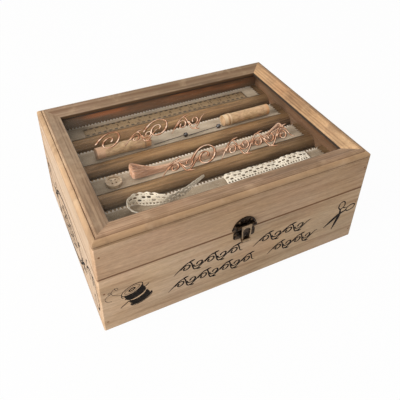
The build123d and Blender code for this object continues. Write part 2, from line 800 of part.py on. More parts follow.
with BuildPart() as floss_skein:
    with BuildLine() as floss:
        for run in range(skein_run_count):
            side, (near_turn, near_waist, far_waist, far_turn) = skein_run(run)
            if run > 0:
                ease_across(near_turn, near_waist, side)
            if near_waist.Z == far_waist.Z:
                Line(near_waist, far_waist)
            else:
                ease_across(near_waist, far_waist, side)
            if run < skein_run_count - 1:
                ease_across(far_waist, far_turn, side)
                TangentArc(far_turn, skein_run(run + 1)[1][0], tangent=(side, 0, 0))
    floss_start = skein_run(0)[1][1]
    with BuildSketch(Plane(origin=floss_start, z_dir=(1, 0, 0))):
        RegularPolygon(floss_diameter / 2, 4)
    sweep()
write(floss_skein.part, "floss_skein")


def least_gap(edges, diameter, spacing=0.5):
    """Least gap from a tube to itself, on points along it that lie over four diameters apart."""
    points = []
    travelled = 0.0
    for edge in edges:
        count = max(2, int(edge.length / spacing))
        for step in range(count):
            spot = edge @ (step / count)
            points.append((travelled + edge.length * step / count, spot.X, spot.Y, spot.Z))
        travelled += edge.length
    least = travelled
    for number, (s, x, y, z) in enumerate(points):
        for other_s, other_x, other_y, other_z in points[number + 1 :]:
            if other_s - s > 4 * diameter and abs(other_y - y) < least and abs(other_x - x) < least:
                gap = sqrt((other_x - x) ** 2 + (other_y - y) ** 2 + (other_z - z) ** 2)
                least = min(least, gap)
    return least - diameter, travelled


floss_gap, floss_length = least_gap(floss.edges(), floss_diameter)
print(f"skein: {floss_length:.0f} mm of floss, least gap to itself {floss_gap:.2f} mm")

# Lace: a ribbon on edge that loops round and trails off to a tip, and a length that lies in waves
lace_back = felt_back(3)
with BuildPart() as lace_loop:
    with BuildSketch(Plane.XY.offset(felt_high + soft_gap)):
        with BuildLine() as ribbon:
            left_front = (lace_loop_left, lace_back - lace_loop_front)
            left_back = (lace_loop_left, lace_back - lace_loop_back)
            right_back = (lace_loop_right, lace_back - lace_loop_back)
            Line((lace_loop_start, lace_back - lace_loop_front), left_front)
            TangentArc(left_front, left_back, tangent=(-1, 0))
            Line(left_back, right_back)
            bend = TangentArc(right_back, (lace_bend[0], lace_back - lace_bend[1]), tangent=(1, 0))
            TangentArc(bend @ 1, (lace_tip[0], lace_back - lace_tip[1]), tangent=bend % 1)
        trace(lines=ribbon.edges(), line_width=lace_thickness)
    extrude(amount=lace_width)
    with BuildSketch(Plane.XZ):
        with BuildLine():
            Polyline(
                (lace_bend[0], felt_high + soft_gap + lace_width),
                (lace_tip[0] + lace_width, felt_high + soft_gap + lace_width),
                (lace_tip[0] + lace_width, felt_high + soft_gap + lace_tip_height),
                (lace_tip[0], felt_high + soft_gap + lace_tip_height),
                close=True,
            )
        make_face()
    extrude(amount=half_depth, both=True, mode=Mode.SUBTRACT)
write(lace_loop.part, "lace_loop")

with BuildPart() as lace_length:
    lace_level = felt_high + soft_gap + lace_thickness / 2 + lace_wave_height
    lace_middle_y = lace_back - lace_length_set_back - lace_width / 2
    wave_plane = Plane(
        origin=(lace_length_start, lace_middle_y, lace_level), x_dir=(1, 0, 0), z_dir=(0, -1, 0)
    )
    with BuildSketch(wave_plane):
        with BuildLine() as waves:
            for half_wave in range(2 * lace_wave_count):
                start = half_wave * lace_wave_length / 2
                rise = lace_wave_height if half_wave % 2 == 0 else -lace_wave_height
                SagittaArc((start, 0), (start + lace_wave_length / 2, 0), rise)
        trace(lines=waves.edges(), line_width=lace_thickness)
    extrude(amount=lace_width / 2, both=True)
write(lace_length.part, "lace_length")
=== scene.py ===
import random
from bisect import bisect_left
from math import cos, pi, radians, sin

import bmesh
import bpy
from mathutils import Matrix, Vector


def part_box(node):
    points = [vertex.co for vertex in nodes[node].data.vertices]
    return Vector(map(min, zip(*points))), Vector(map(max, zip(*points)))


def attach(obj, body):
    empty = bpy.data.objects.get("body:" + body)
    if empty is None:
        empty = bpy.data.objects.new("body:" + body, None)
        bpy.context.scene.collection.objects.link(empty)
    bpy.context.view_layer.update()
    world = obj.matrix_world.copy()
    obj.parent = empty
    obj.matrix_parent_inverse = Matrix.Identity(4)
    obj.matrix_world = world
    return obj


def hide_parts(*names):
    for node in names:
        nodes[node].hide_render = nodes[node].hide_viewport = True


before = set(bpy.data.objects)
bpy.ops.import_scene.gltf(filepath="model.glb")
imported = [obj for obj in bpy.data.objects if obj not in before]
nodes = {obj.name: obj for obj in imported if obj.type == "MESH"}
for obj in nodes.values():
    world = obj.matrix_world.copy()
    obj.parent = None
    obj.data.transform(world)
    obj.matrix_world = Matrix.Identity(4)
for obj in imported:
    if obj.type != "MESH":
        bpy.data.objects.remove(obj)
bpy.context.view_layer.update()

MM = 0.001

# The box's main sizes, as the CAD model has them.
BOX_WIDTH = 0.240
HALF_WIDTH = BOX_WIDTH / 2
HALF_DEPTH = 0.090
WALL = 9 * MM
BASE_HEIGHT = 0.061
GLASS_TOP = 0.094


# -------- nodes and finishes


def tone(red, green, blue):
    """A colour given as seen on a screen, 0 to 255, as the shader's own numbers."""
    levels = [level / 255 for level in (red, green, blue)]
    return (*[x / 12.92 if x <= 0.04045 else ((x + 0.055) / 1.055) ** 2.4 for x in levels], 1)


def tones(*shades):
    return [tone(*shade) for shade in shades]


def add_node(tree, kind, inputs, output=0, **settings):
    """Adds a node fed by plain values or by other nodes, and returns one of its outputs."""
    node = tree.nodes.new("ShaderNode" + kind)
    for setting, value in settings.items():
        setattr(node, setting, value)
    for socket, value in inputs.items():
        if isinstance(value, bpy.types.NodeSocket):
            tree.links.new(value, node.inputs[socket])
        else:
            node.inputs[socket].default_value = value
    return node.outputs[output]


class Finish:
    """A finish under way: its shader, and short ways to add the nodes that colour it."""

    def __init__(self, name, roughness=0.6, metallic=0.0, sockets=()):
        self.material = bpy.data.materials.new(name)
        self.material.use_nodes = True
        self.tree = self.material.node_tree
        self.shader = self.tree.nodes["Principled BSDF"]
        self.shader.inputs["Roughness"].default_value = roughness
        self.shader.inputs["Metallic"].default_value = metallic
        for socket, value in dict(sockets).items():
            self.shader.inputs[socket].default_value = value

    def add(self, kind, inputs, output=0, **settings):
        return add_node(self.tree, kind, inputs, output, **settings)

    def along(self, axis):
        """Each point's place along an axis of the box, in metres from its middle."""
        return self.add("SeparateXYZ", {"Vector": self.add("TexCoord", {}, "Object")}, axis)

    def from_middle(self, axis):
        return self.math("ABSOLUTE", self.along(axis))

    def noise(self, pitch, detail=3, spread=0.5, twist=0.0, shift=(0, 0, 0), turn=(0, 0, 0)):
        """Cloudy noise. The pitch is its spots to a metre, one number or one for each axis."""
        if isinstance(pitch, (int, float)):
            pitch = (pitch, pitch, pitch)
        where = self.add("TexCoord", {}, "Object")
        where = self.add("Mapping", {"Vector": where, "Location": shift, "Rotation": turn, "Scale": pitch})
        settings = {"Vector": where, "Scale": 1.0, "Detail": detail, "Roughness": spread, "Distortion": twist}
        return self.add("TexNoise", settings)

    def span(self, value, low, high, start=0.0, end=1.0):
        """Start up to where value is low, end from where it is high, and in between in step."""
        settings = {"Value": value, "From Min": low, "From Max": high, "To Min": start, "To Max": end}
        return self.add("MapRange", settings, clamp=True)

    def math(self, operation, first, second=0.0, third=0.0):
        return self.add("Math", {0: first, 1: second, 2: third}, operation=operation)

    def times(self, first, second):
        return self.math("MULTIPLY", first, second)

    def band(self, value, middle, width, soft):
        """1 where value is within half of width from middle, falling to 0 over soft."""
        off = self.math("ABSOLUTE", self.math("SUBTRACT", value, middle))
        return self.span(off, width / 2, width / 2 + soft, 1.0, 0.0)

    def ramp(self, value, positions, colours):
        node = self.tree.nodes.new("ShaderNodeValToRGB")
        self.tree.links.new(value, node.inputs["Fac"])
        steps = node.color_ramp.elements
        while len(steps) < len(positions):
            steps.new(0.5)
        for step, position in zip(steps, positions):
            step.position = position
        for step, colour in zip(steps, colours):
            step.color = colour
        return node.outputs["Color"]

    def mix(self, share, first, second, way="MIX"):
        return self.add("Mix", {"Factor": share, 6: first, 7: second}, 2, data_type="RGBA", blend_type=way)

    def lay(self, mask, share, tint, colour):
        """Lays a share of a colour over a tint where mask is 1."""
        return self.mix(self.times(mask, share), tint, colour)

    def fade(self, value, low, high, share, tint, colour):
        """Lays more of a colour over a tint, up to share, as value goes from low to high."""
        return self.mix(self.span(value, low, high, 0.0, share), tint, colour)

    def wash(self, tint, axis, first, last):
        """Lightens or darkens a tint by one amount at an axis's low end and another from its middle on:
        painted light falling off away from the lamp at the front left, or an even tint where both are the
        same.
        """
        share = self.span(self.along(axis), -HALF_WIDTH, 0.0)
        return self.mix(1.0, tint, self.mix(share, (*first, 1), (*last, 1)), "MULTIPLY")

    def feed(self, socket, value):
        self.tree.links.new(value, self.shader.inputs[socket])

    def done(self, tint, height=None, depth=0.0, strength=0.5):
        """Colours the shader, adds relief of a depth in millimetres, and returns the material."""
        self.feed("Base Color", tint)
        if height is not None:
            relief = {"Height": height, "Distance": depth * MM, "Strength": strength}
            self.feed("Normal", self.add("Bump", relief))
        return self.material


# -------- making objects


def put_in_scene(name, data):
    """Makes an object of a camera, lamp, mesh or curve, and links it to the scene."""
    thing = bpy.data.objects.new(name, data)
    bpy.context.collection.objects.link(thing)
    return thing


def finished_piece(name, shape, finish, smooth=True):
    """Turns a bmesh into an object at the origin, its place in its mesh."""
    mesh = bpy.data.meshes.new(name)
    shape.to_mesh(mesh)
    shape.free()
    for face in mesh.polygons:
        face.use_smooth = smooth
    mesh.materials.append(finish)
    return put_in_scene(name, mesh)


def add_shape(shape, addition):
    """Adds one bmesh to another. The added one goes."""
    mesh = bpy.data.meshes.new("addition")
    addition.to_mesh(mesh)
    addition.free()
    shape.from_mesh(mesh)
    bpy.data.meshes.remove(mesh)


def mesh_of(line, name):
    """The surface of a curve or of figures as a bmesh. The curve itself goes."""
    holder = put_in_scene(name, line)
    mesh = bpy.data.meshes.new_from_object(holder)
    shape = bmesh.new()
    shape.from_mesh(mesh)
    bpy.data.objects.remove(holder)
    bpy.data.meshes.remove(mesh)
    bpy.data.curves.remove(line)
    return shape


def thread_curve(name, route, radius, resolution, sides, order=3):
    """A round thread along a soft line through the route's points."""
    line = bpy.data.curves.new(name, "CURVE")
    line.dimensions = "3D"
    line.bevel_depth = radius
    line.bevel_resolution = sides
    line.use_fill_caps = True
    line.resolution_u = resolution
    spline = line.splines.new("NURBS")
    spline.points.add(len(route) - 1)
    for point, place in zip(spline.points, route):
        point.co = (*place, 1)
    spline.order_u = order
    spline.use_endpoint_u = True
    return line


def flat_grid(columns, rows, width, depth):
    """A flat sheet around the origin, in columns and rows of faces."""
    sheet = bmesh.new()
    bmesh.ops.create_grid(sheet, x_segments=columns, y_segments=rows, size=0.5)
    bmesh.ops.scale(sheet, vec=(width, depth, 1), verts=sheet.verts)
    return sheet


def thicken(piece, thickness):
    layer = piece.modifiers.new("thickness", "SOLIDIFY")
    layer.thickness = thickness
    layer.offset = 0.0
    return layer


# -------- camera, floor and lights

PHOTO_WIDTH = 400  # pixels
FOCAL_LENGTH = 501.3  # pixels
SENSOR_WIDTH = 36  # millimetres
CAMERA_PLACE = (0.0228, 0.2953, 2.0785)  # box widths to its right, up and back
CAMERA_SHIFT = -0.15  # picture widths
FLOOR_SIZE = 12
WARM_WHITE = (1, 0.98, 0.95)


def set_camera():
    """Places the camera that was fitted to the corners of the box in the photograph."""
    azimuth, elevation, roll = radians(-26.72), radians(36.45), radians(1.30)
    back = Vector((sin(azimuth) * cos(elevation), -cos(azimuth) * cos(elevation), sin(elevation)))
    level = Vector((cos(azimuth), sin(azimuth), 0))
    upright = back.cross(level)
    right = level * cos(roll) + upright * sin(roll)
    up = upright * cos(roll) - level * sin(roll)
    lens = bpy.data.cameras.new("camera")
    lens.sensor_width = SENSOR_WIDTH
    lens.lens = SENSOR_WIDTH * FOCAL_LENGTH / PHOTO_WIDTH
    lens.shift_y = CAMERA_SHIFT
    lens.clip_start = 0.01
    camera = put_in_scene("camera", lens)
    turn = Matrix((right, up, back)).transposed()
    place = turn @ Vector(CAMERA_PLACE) * BOX_WIDTH
    camera.matrix_world = Matrix.Translation(place) @ turn.to_4x4()
    bpy.context.scene.camera = camera


def set_lamp(name, place, size, power, colour=(1, 1, 1)):
    """A round soft lamp aimed at the middle of the box."""
    light = bpy.data.lights.new(name, "AREA")
    light.shape = "DISK"
    light.size = size
    light.energy = power
    light.color = colour
    lamp = put_in_scene(name, light)
    lamp.location = place
    lamp.rotation_euler = (Vector((0, 0, 0.06)) - lamp.location).to_track_quat("-Z", "Y").to_euler()


def seen_directly(tree):
    """1 for what the camera sees, also in a reflection or through glass, and 0 for light on the box."""
    ray = tree.nodes.new("ShaderNodeLightPath").outputs
    either = add_node(tree, "Math", {0: ray["Is Camera Ray"], 1: ray["Is Glossy Ray"]}, operation="ADD")
    rays = {0: either, 1: ray["Is Transmission Ray"]}
    return add_node(tree, "Math", rays, operation="ADD", use_clamp=True)


def set_world(fill):
    """White where it is seen, and a weaker, warmer light on the box."""
    world = bpy.data.worlds.new("studio")
    bpy.context.scene.world = world
    world.use_nodes = True
    tree = world.node_tree
    white = tree.nodes["Background"]
    white.inputs["Color"].default_value = (1, 1, 1, 1)
    white.inputs["Strength"].default_value = 1
    soft = add_node(tree, "Background", {"Color": (1, 0.985, 0.96, 1), "Strength": fill})
    mix = add_node(tree, "MixShader", {0: seen_directly(tree), 1: soft, 2: white.outputs[0]})
    tree.links.new(mix, tree.nodes["World Output"].inputs["Surface"])


def set_floor():
    """A wide floor: nearly white where it is seen, with enough of its matt grey left to show the shadow."""
    coat = Finish("pale_floor", 0.9, 0.0, {"Base Color": (0.5, 0.49, 0.48, 1)})
    glow = coat.add("Emission", {"Color": (1, 1, 1, 1), "Strength": 1})
    share = coat.times(seen_directly(coat.tree), 0.97)
    mix = coat.add("MixShader", {0: share, 1: coat.shader.outputs[0], 2: glow})
    coat.tree.links.new(mix, coat.tree.nodes["Material Output"].inputs["Surface"])
    floor = finished_piece("floor", flat_grid(1, 1, FLOOR_SIZE, FLOOR_SIZE), coat.material)


bpy.context.scene.view_settings.view_transform = "Standard"
set_camera()
set_floor()
set_world(fill=0.42)
set_lamp("window_left", (-1.25, -0.15, 0.75), 0.9, 27, WARM_WHITE)
set_lamp("front_fill", (-0.45, -1.2, 0.85), 0.9, 4, WARM_WHITE)
set_lamp("top_fill", (0.2, 0.5, 1.5), 1.0, 5)


# -------- woods, metals, cloths and inks


CASE_TONES = tones((197, 167, 136), (180, 149, 118), (142, 110, 80))
PLY_TONES = tones((206, 184, 152), (190, 165, 130), (160, 132, 97))
SLAT_TONES = tones((178, 142, 98), (140, 106, 67), (86, 61, 36))
INSIDE_TONES = tones((50, 30, 16), (114, 60, 28), (192, 106, 50))
YELLOW_CAST, PINK_CAST = (1.05, 0.95, 0.80, 1), (1.0, 0.94, 0.97, 1)


def wood_layers(coat, grain, wood_tones, seed, scale=1.0, contrast=1.0):
    """Grain along one axis in a pale, a middle and a dark tone. Returns its colour and its height."""

    def streaks(run, across, shift, detail=3, spread=0.6, twist=0.0):
        pitch = [across] * 3
        pitch[grain] = run
        start = seed + shift
        return coat.noise(pitch, detail, spread, twist, (start * 0.37, start * 0.61, start * 0.83))

    pale, middle, dark = wood_tones
    broad = streaks(6.5 * scale, 62 * scale, 0, twist=0.5)
    rings = streaks(18 * scale, 420 * scale, 3, 4, twist=0.3)
    fibre = streaks(120, 2100, 7, spread=0.65)
    fleck = streaks(230, 900, 9, twist=0.4)
    pores = streaks(110, 1500, 11, 2, 0.5)
    cloud = streaks(15, 30, 17)
    blush = streaks(22, 34, 23)
    mixed = coat.math("MULTIPLY_ADD", broad, 0.52, coat.times(rings, 0.48))
    half = 0.19 / contrast
    tint = coat.ramp(coat.span(mixed, 0.5 - half, 0.5 + half), (0.0, 0.45, 1.0), (dark, middle, pale))
    fine = coat.times(coat.span(fibre, 0.3, 0.7, 0.87, 1.09), coat.span(fleck, 0.3, 0.7, 0.88, 1.07))
    tint = coat.mix(1.0, tint, coat.add("CombineColor", {0: fine, 1: fine, 2: fine}), "MULTIPLY")
    for patches, low, high, cast in ((cloud, 0.38, 0.68, YELLOW_CAST), (blush, 0.45, 0.7, PINK_CAST)):
        tint = coat.fade(patches, low, high, 0.6, tint, coat.mix(1.0, tint, cast, "MULTIPLY"))
    tint = coat.fade(pores, 0.66, 0.76, 0.42, tint, dark)
    height = coat.math("MULTIPLY_ADD", rings, 0.5, coat.times(fibre, 0.35))
    height = coat.math("SUBTRACT", height, coat.span(pores, 0.64, 0.76, 0.0, 0.5))
    coat.feed("Roughness", coat.span(mixed, 0.35, 0.65, 0.70, 0.56))
    return tint, height


def inside_stain(coat, seed, glow):
    """The lid's stained inside: painted shade at a wall's foot, and painted red light under the glass, as
    much as glow asks for.
    """
    patches = coat.noise((16, 16, 90), 3, 0.6, shift=(seed, 0, 0))
    stain = coat.ramp(patches, (0.32, 0.46, 0.64), INSIDE_TONES)
    # Painted shade at the wall's foot; higher up, painted light takes away as much of the darkest tone as
    # glow asks.
    stain = coat.mix(coat.span(coat.along(2), 77 * MM, 85 * MM, 0.9, 1 - glow), stain, INSIDE_TONES[0])
    if glow > 0.5:
        # On the back wall: painted shadow of the left wall at its left end, and a painted streak of red
        # light.
        shade = coat.span(coat.along(0), -100 * MM, -86 * MM, 0.9, 0.0)
        run = coat.band(coat.along(0), -58 * MM, 26 * MM, 12 * MM)
        streak = coat.times(run, coat.band(coat.along(2), 84.5 * MM, 2.4 * MM, 2.2 * MM))
        stain = coat.lay(streak, 0.8, stain, tone(206, 108, 46))
    else:
        # On the other walls: painted shade at the top, under the moulding.
        shade_foot = 81 * MM if glow < 0.2 else 85.5 * MM
        shade = coat.span(coat.along(2), shade_foot, shade_foot + 6 * MM, 0.0, 0.88)
    return coat.mix(shade, stain, tone(28, 19, 13))


def board_finish(name, grain, seed, first, last, glow=None):
    """A case board: darker at the lid joint and on its end grain, with painted light from its wash. With a
    glow, it is stained inside, with painted light and shade there.
    """
    coat = Finish(name, 0.62, 0.0, {"Specular IOR Level": 0.25})
    tint, height = wood_layers(coat, grain, CASE_TONES, seed)
    # Painted light: the wash lightens the front boards towards the lamp at the left.
    tint = coat.wash(tint, grain, first, last)
    outer_y = coat.span(coat.from_middle(1), HALF_DEPTH - 1.0 * MM, HALF_DEPTH - 0.3 * MM)
    outer_x = coat.span(coat.from_middle(0), HALF_WIDTH - 1.0 * MM, HALF_WIDTH - 0.3 * MM)
    outer = coat.math("MAXIMUM", outer_y, outer_x)
    joint = coat.times(outer, coat.band(coat.along(2), BASE_HEIGHT, 1.0 * MM, 0.8 * MM))
    tint = coat.lay(joint, 0.85, tint, tone(100, 64, 36))
    reach = HALF_WIDTH if grain == 0 else HALF_DEPTH - WALL
    end = coat.span(coat.from_middle(grain), reach - 0.35 * MM, reach - 0.05 * MM)
    tint = coat.lay(end, 0.45 if grain == 0 else 0.7, tint, tone(150, 119, 86))
    if glow is not None:
        face = (HALF_DEPTH if grain == 0 else HALF_WIDTH) - WALL
        inside = coat.span(coat.from_middle(1 - grain), face - 0.1 * MM, face + 0.3 * MM, 1.0, 0.0)
        tint = coat.mix(inside, tint, inside_stain(coat, seed, glow))
    return coat.done(tint, height, 0.25, 0.55)


def plain_wood(name, grain, seed, wood_tones, scale=1.0, contrast=1.0, depth=0.2):
    coat = Finish(name, 0.62)
    tint, height = wood_layers(coat, grain, wood_tones, seed, scale, contrast)
    return coat.done(tint, height, depth)


def slat_finish(name, seed):
    """A stained slat of the display, with painted shade towards the foot of its rounded front and towards its
    right end.
    """
    coat = Finish(name, 0.5)
    tint, height = wood_layers(coat, 0, SLAT_TONES, seed, 1.3, 1.35)
    # Painted shade in the hollow at the foot of the slat's rounded front.
    foot = coat.span(coat.along(2), 67.5 * MM, 74.5 * MM, 0.8, 0.0)
    tint = coat.mix(foot, tint, tone(44, 31, 21))
    # Painted shade towards the right end, from the right wall and its bead.
    tint = coat.fade(coat.along(0), 45 * MM, 100 * MM, 0.5, tint, tone(58, 43, 31))
    return coat.done(tint, height, 0.2)


# The moulding's profile, in millimetres inwards from its outer face.
BEAD_END, QUIRK, RIDGE, HOLLOW, RABBET = 3.4, 3.85, 6.3, 10.4, 17.5
OUTER_FILLET, INNER_FILLET = 12.6, 15.2
RIDGE_TONE, FILLET_TONE = tones((112, 80, 50), (108, 76, 46))


def moulding_finish(name, grain, seed, inwards, bead, wood_tones, first, last):
    """A frame moulding: outer bead, a quirk behind it darkened with painted shade, sloping band, and painted
    shadow along its edge at the glass.
    """
    coat = Finish(name, 0.55)
    tint, height = wood_layers(coat, grain, wood_tones, seed, 1.0, 1.15)
    # Painted light: the wash darkens the moulding away from the lamp at the front left.
    tint = coat.wash(tint, grain, first, last)
    half = HALF_DEPTH if grain == 0 else HALF_WIDTH
    inward = coat.math("MULTIPLY_ADD", coat.along(1 - grain), inwards, half)
    past_bead = coat.span(inward, BEAD_END * MM, (BEAD_END + 0.5) * MM)
    # The bead takes half of its side's tone, which paints light and shade.
    tint = coat.mix(past_bead, coat.mix(0.5, tint, bead), tint)
    # Painted shade in the quirk's groove, and a dark joint line along the moulding's foot.
    quirk = coat.band(inward, QUIRK * MM, 0.5 * MM, 0.25 * MM)
    foot = coat.band(coat.along(2), 94.9 * MM, 0.4 * MM, 0.3 * MM)
    low = coat.span(inward, 1.0 * MM, 1.6 * MM, 1.0, 0.0)
    grooves = coat.math("MAXIMUM", quirk, coat.times(foot, low))
    tint = coat.lay(grooves, 0.8, tint, tone(98, 66, 38))
    # Dark lines at the ridge and the two fillets: painted shade of small grooves.
    for line, share, shade in (
        (RIDGE, 0.6, RIDGE_TONE), (OUTER_FILLET, 0.45, FILLET_TONE), (INNER_FILLET, 0.45, FILLET_TONE),
    ):
        tint = coat.lay(coat.band(inward, line * MM, 0.4 * MM, 0.5 * MM), share, tint, shade)
    at_back = grain == 0 and inwards < 0
    if at_back:
        hollow = coat.band(inward, HOLLOW * MM, 1.6 * MM, 1.5 * MM)
        tint = coat.lay(hollow, 0.7, tint, tone(92, 60, 30))
    stains = coat.noise(46, 4, 0.65, 0.5, shift=(seed, 0, 0))
    tint = coat.fade(stains, 0.48, 0.70, 0.6, tint, tone(116, 88, 60))
    worn = coat.noise(70, 3, 0.6, shift=(0, seed, 0))
    tint = coat.fade(worn, 0.55, 0.75, 0.5, tint, wood_tones[0])
    # Painted shadow: the edge at the glass is nearly black, or dark brown at the back, as the gap under the
    # moulding.
    rabbet = coat.span(inward, RABBET * MM, (RABBET + 0.3) * MM)
    glass_gap_shade = tone(84, 58, 34) if at_back else tone(24, 17, 12)
    tint = coat.lay(rabbet, 0.95, tint, glass_gap_shade)
    return coat.done(tint, height, 0.25, 0.55)


def panel_finish(name, seed):
    """The lid's plywood panel: darkened on the display's side with painted shade for the hollows between the
    slats, plain on the side over the compartments.
    """
    coat = Finish(name, 0.62)
    tint, height = wood_layers(coat, 0, PLY_TONES, seed, 0.5, 1.2)
    # Painted shade: the display's side is darkened, for the hollows between the slats.
    upper = coat.span(coat.along(2), 66.6 * MM, 66.9 * MM)
    tint = coat.mix(upper, tint, coat.mix(0.85, tint, tone(46, 33, 22)))
    return coat.done(tint, height, 0.1)


def turned_finish(name, bands, spot):
    """Turned beech: mottled, with paler or darker rings at the given places along the box."""
    coat = Finish(name, 0.42)
    mottle = coat.noise((260, 420, 420), 4, 0.6, 0.4)
    fleck = coat.noise((500, 1700, 1700), 2, 0.5)
    tint = coat.ramp(mottle, (0.3, 0.5, 0.72), tones((150, 116, 80), (184, 150, 110), (206, 176, 136)))
    tint = coat.fade(fleck, 0.6, 0.7, 0.45, tint, tone(146, 106, 66))
    for middle, width, colour, share in bands:
        ring = coat.band(coat.along(0), middle * MM, width * MM, 0.3 * MM)
        tint = coat.lay(ring, share, tint, colour)
    wash = coat.noise(60, 2, shift=(spot, 0, 0))
    tint = coat.fade(wash, 0.45, 0.7, 0.3, tint, tone(205, 160, 130))
    return coat.done(tint, mottle, 0.1, 0.35)


def bronze_finish(name, shine, rubbed_and_highlit_from=None):
    """Antique bronze: nearly black in the hollows, rubbed bright in spots, and, where it stands proud, both
    rubbed and painted with a highlight.
    """
    coat = Finish(name, 0.36, 1.0)
    wear = coat.noise(420, 4, 0.62)
    grime = coat.noise(1500, 3, 0.6)
    tint = coat.ramp(wear, (0.40, 0.60, 0.80), (*tones((34, 27, 22), (74, 58, 44)), shine))
    tint = coat.fade(grime, 0.5, 0.7, 0.5, tint, tone(36, 29, 24))
    if rubbed_and_highlit_from:
        # Where the hasp stands proud: rubbing, and a painted highlight on its rim.
        proud = coat.span(coat.along(1), -rubbed_and_highlit_from - 0.35 * MM, -rubbed_and_highlit_from, 1.0, 0.0)
        tint = coat.lay(proud, coat.span(grime, 0.35, 0.65, 0.8, 0.2), tint, shine)
    coat.feed("Roughness", coat.span(grime, 0.35, 0.7, 0.30, 0.55))
    return coat.done(tint, grime, 0.12, 0.35)


def steel_finish(name, colour, stain):
    coat = Finish(name, 0.45, 0.8)
    rust = coat.noise(900, 3, 0.6)
    tint = coat.mix(coat.span(rust, 0.42, 0.62), colour, stain)
    coat.feed("Roughness", coat.span(rust, 0.4, 0.65, 0.4, 0.7))
    return coat.done(tint, rust, 0.05, 0.3)


def felt_finish(name, lightest, middle, darkest, back_edge=None):
    """Wool felt: clouded, with fine crossing fibres. A strip is paler towards its pinked back edge, and
    darker at its left end with painted shadow of the lid's left wall.
    """
    coat = Finish(name, 0.95, 0.0, {"Sheen Weight": 0.2, "Sheen Roughness": 0.5, "Specular IOR Level": 0.2})
    cloud = coat.noise((40, 90, 90))
    lint = coat.noise((1900, 700, 1500), 4, 0.65, 0.8, turn=(0, 0, 0.6))
    other = coat.noise((600, 2100, 1500), 3, 0.6, 0.6, turn=(0, 0, 0.4))
    tint = coat.ramp(cloud, (0.3, 0.55, 0.8), (darkest, middle, lightest))
    tint = coat.fade(lint, 0.5, 0.72, 0.45, tint, tone(120, 106, 90))
    tint = coat.fade(other, 0.55, 0.75, 0.4, tint, tone(226, 218, 206))
    if back_edge:
        tips = (back_edge - 3.4 * MM, back_edge - 1.2 * MM)
        tint = coat.fade(coat.along(1), *tips, 0.75, tint, tone(232, 222, 206))
        # Painted shadow of the lid's left wall over the strip's left end.
        left_wall_shadow = coat.span(coat.along(0), -100 * MM, -66 * MM, 0.3, 0.0)
        tint = coat.mix(left_wall_shadow, tint, tone(84, 70, 56))
    height = coat.math("ADD", lint, other)
    return coat.done(tint, height, 0.25, 0.6)


def tape_finish(low, high):
    """Oiled tape cloth: a plain weave with printed dashes along both edges and a fine line inside each."""
    coat = Finish("tan_tape_cloth", 0.6)
    middle = (low.y + high.y) / 2
    across = coat.math("ABSOLUTE", coat.math("SUBTRACT", coat.along(1), middle))
    thread = 2 * pi / (0.55 * MM)
    weave = coat.times(*[coat.math("SINE", coat.times(coat.along(axis), thread)) for axis in (0, 1)])
    cloud = coat.noise((40, 160, 160))
    tint = coat.ramp(cloud, (0.3, 0.55, 0.8), tones((128, 104, 74), (144, 120, 88), (160, 136, 104)))
    hollows = coat.span(weave, -0.6, 0.9, 0.25, 0.0)
    tint = coat.mix(hollows, tint, tone(120, 92, 60))
    marks = []
    for pitch, width, soft, row in (
        (5.5 * MM, 0.5, 0.05, (4.7 * MM, 1.7 * MM, 0.15 * MM)),
        (1.1 * MM, 0.16, 0.08, (5.85 * MM, 0.6 * MM, 0.1 * MM)),
    ):
        run = coat.math("FRACT", coat.math("DIVIDE", coat.math("SUBTRACT", coat.along(0), low.x), pitch))
        marks.append(coat.times(coat.band(run, 0.5, width, soft), coat.band(across, *row)))
    ink = coat.math("MAXIMUM", *marks)
    tint = coat.lay(ink, 0.92, tint, tone(38, 28, 20))
    return coat.done(tint, weave, 0.08, 0.4)


def floss_finish():
    """Polished cotton: salmon, paler towards its left end, softly glossy, with its own dye in each strand."""
    coat = Finish("salmon_floss", 0.42, 0.0, {"Sheen Weight": 0.3, "Sheen Roughness": 0.4})
    dye = coat.noise((35, 700, 700))
    twist = coat.noise((1500, 900, 900), 3, 0.6, turn=(0, 0, 0.5))
    tint = coat.ramp(dye, (0.3, 0.52, 0.75), tones((176, 124, 92), (206, 158, 124), (236, 200, 172)))
    tint = coat.fade(twist, 0.55, 0.75, 0.3, tint, tone(156, 98, 68))
    tint = coat.fade(coat.along(0), -50 * MM, -15 * MM, 0.4, tint, tone(190, 166, 140))
    return coat.done(tint, twist, 0.15)


def lace_finish():
    coat = Finish("cream_cotton_lace", 0.85, 0.0, {"Sheen Weight": 0.2, "Sheen Roughness": 0.5})
    thread = coat.noise((1500, 1500, 1900), 4, 0.65, 0.5)
    cloud = coat.noise((90, 90, 160), 2)
    tint = coat.ramp(cloud, (0.3, 0.6, 0.85), tones((214, 200, 178), (232, 220, 200), (244, 236, 220)))
    tint = coat.fade(thread, 0.52, 0.72, 0.4, tint, tone(166, 146, 120))
    return coat.done(tint, thread, 0.3, 0.6)


def button_finish():
    coat = Finish("horn_button", 0.35)
    swirl = coat.noise((150, 260, 200), 4, 0.55, 1.2, turn=(0, 0, 0.7))
    fleck = coat.noise(1800, 2)
    tint = coat.ramp(swirl, (0.32, 0.52, 0.72), tones((146, 119, 90), (180, 155, 124), (206, 184, 156)))
    tint = coat.fade(fleck, 0.6, 0.72, 0.4, tint, tone(116, 86, 60))
    return coat.done(tint, swirl, 0.08, 0.3)


def glass_bead_finish():
    coat = Finish("dark_glass_pin_head", 0.12)
    cloud = coat.noise(600, 2)
    return coat.done(coat.ramp(cloud, (0.35, 0.7), tones((34, 30, 30), (62, 52, 48))))


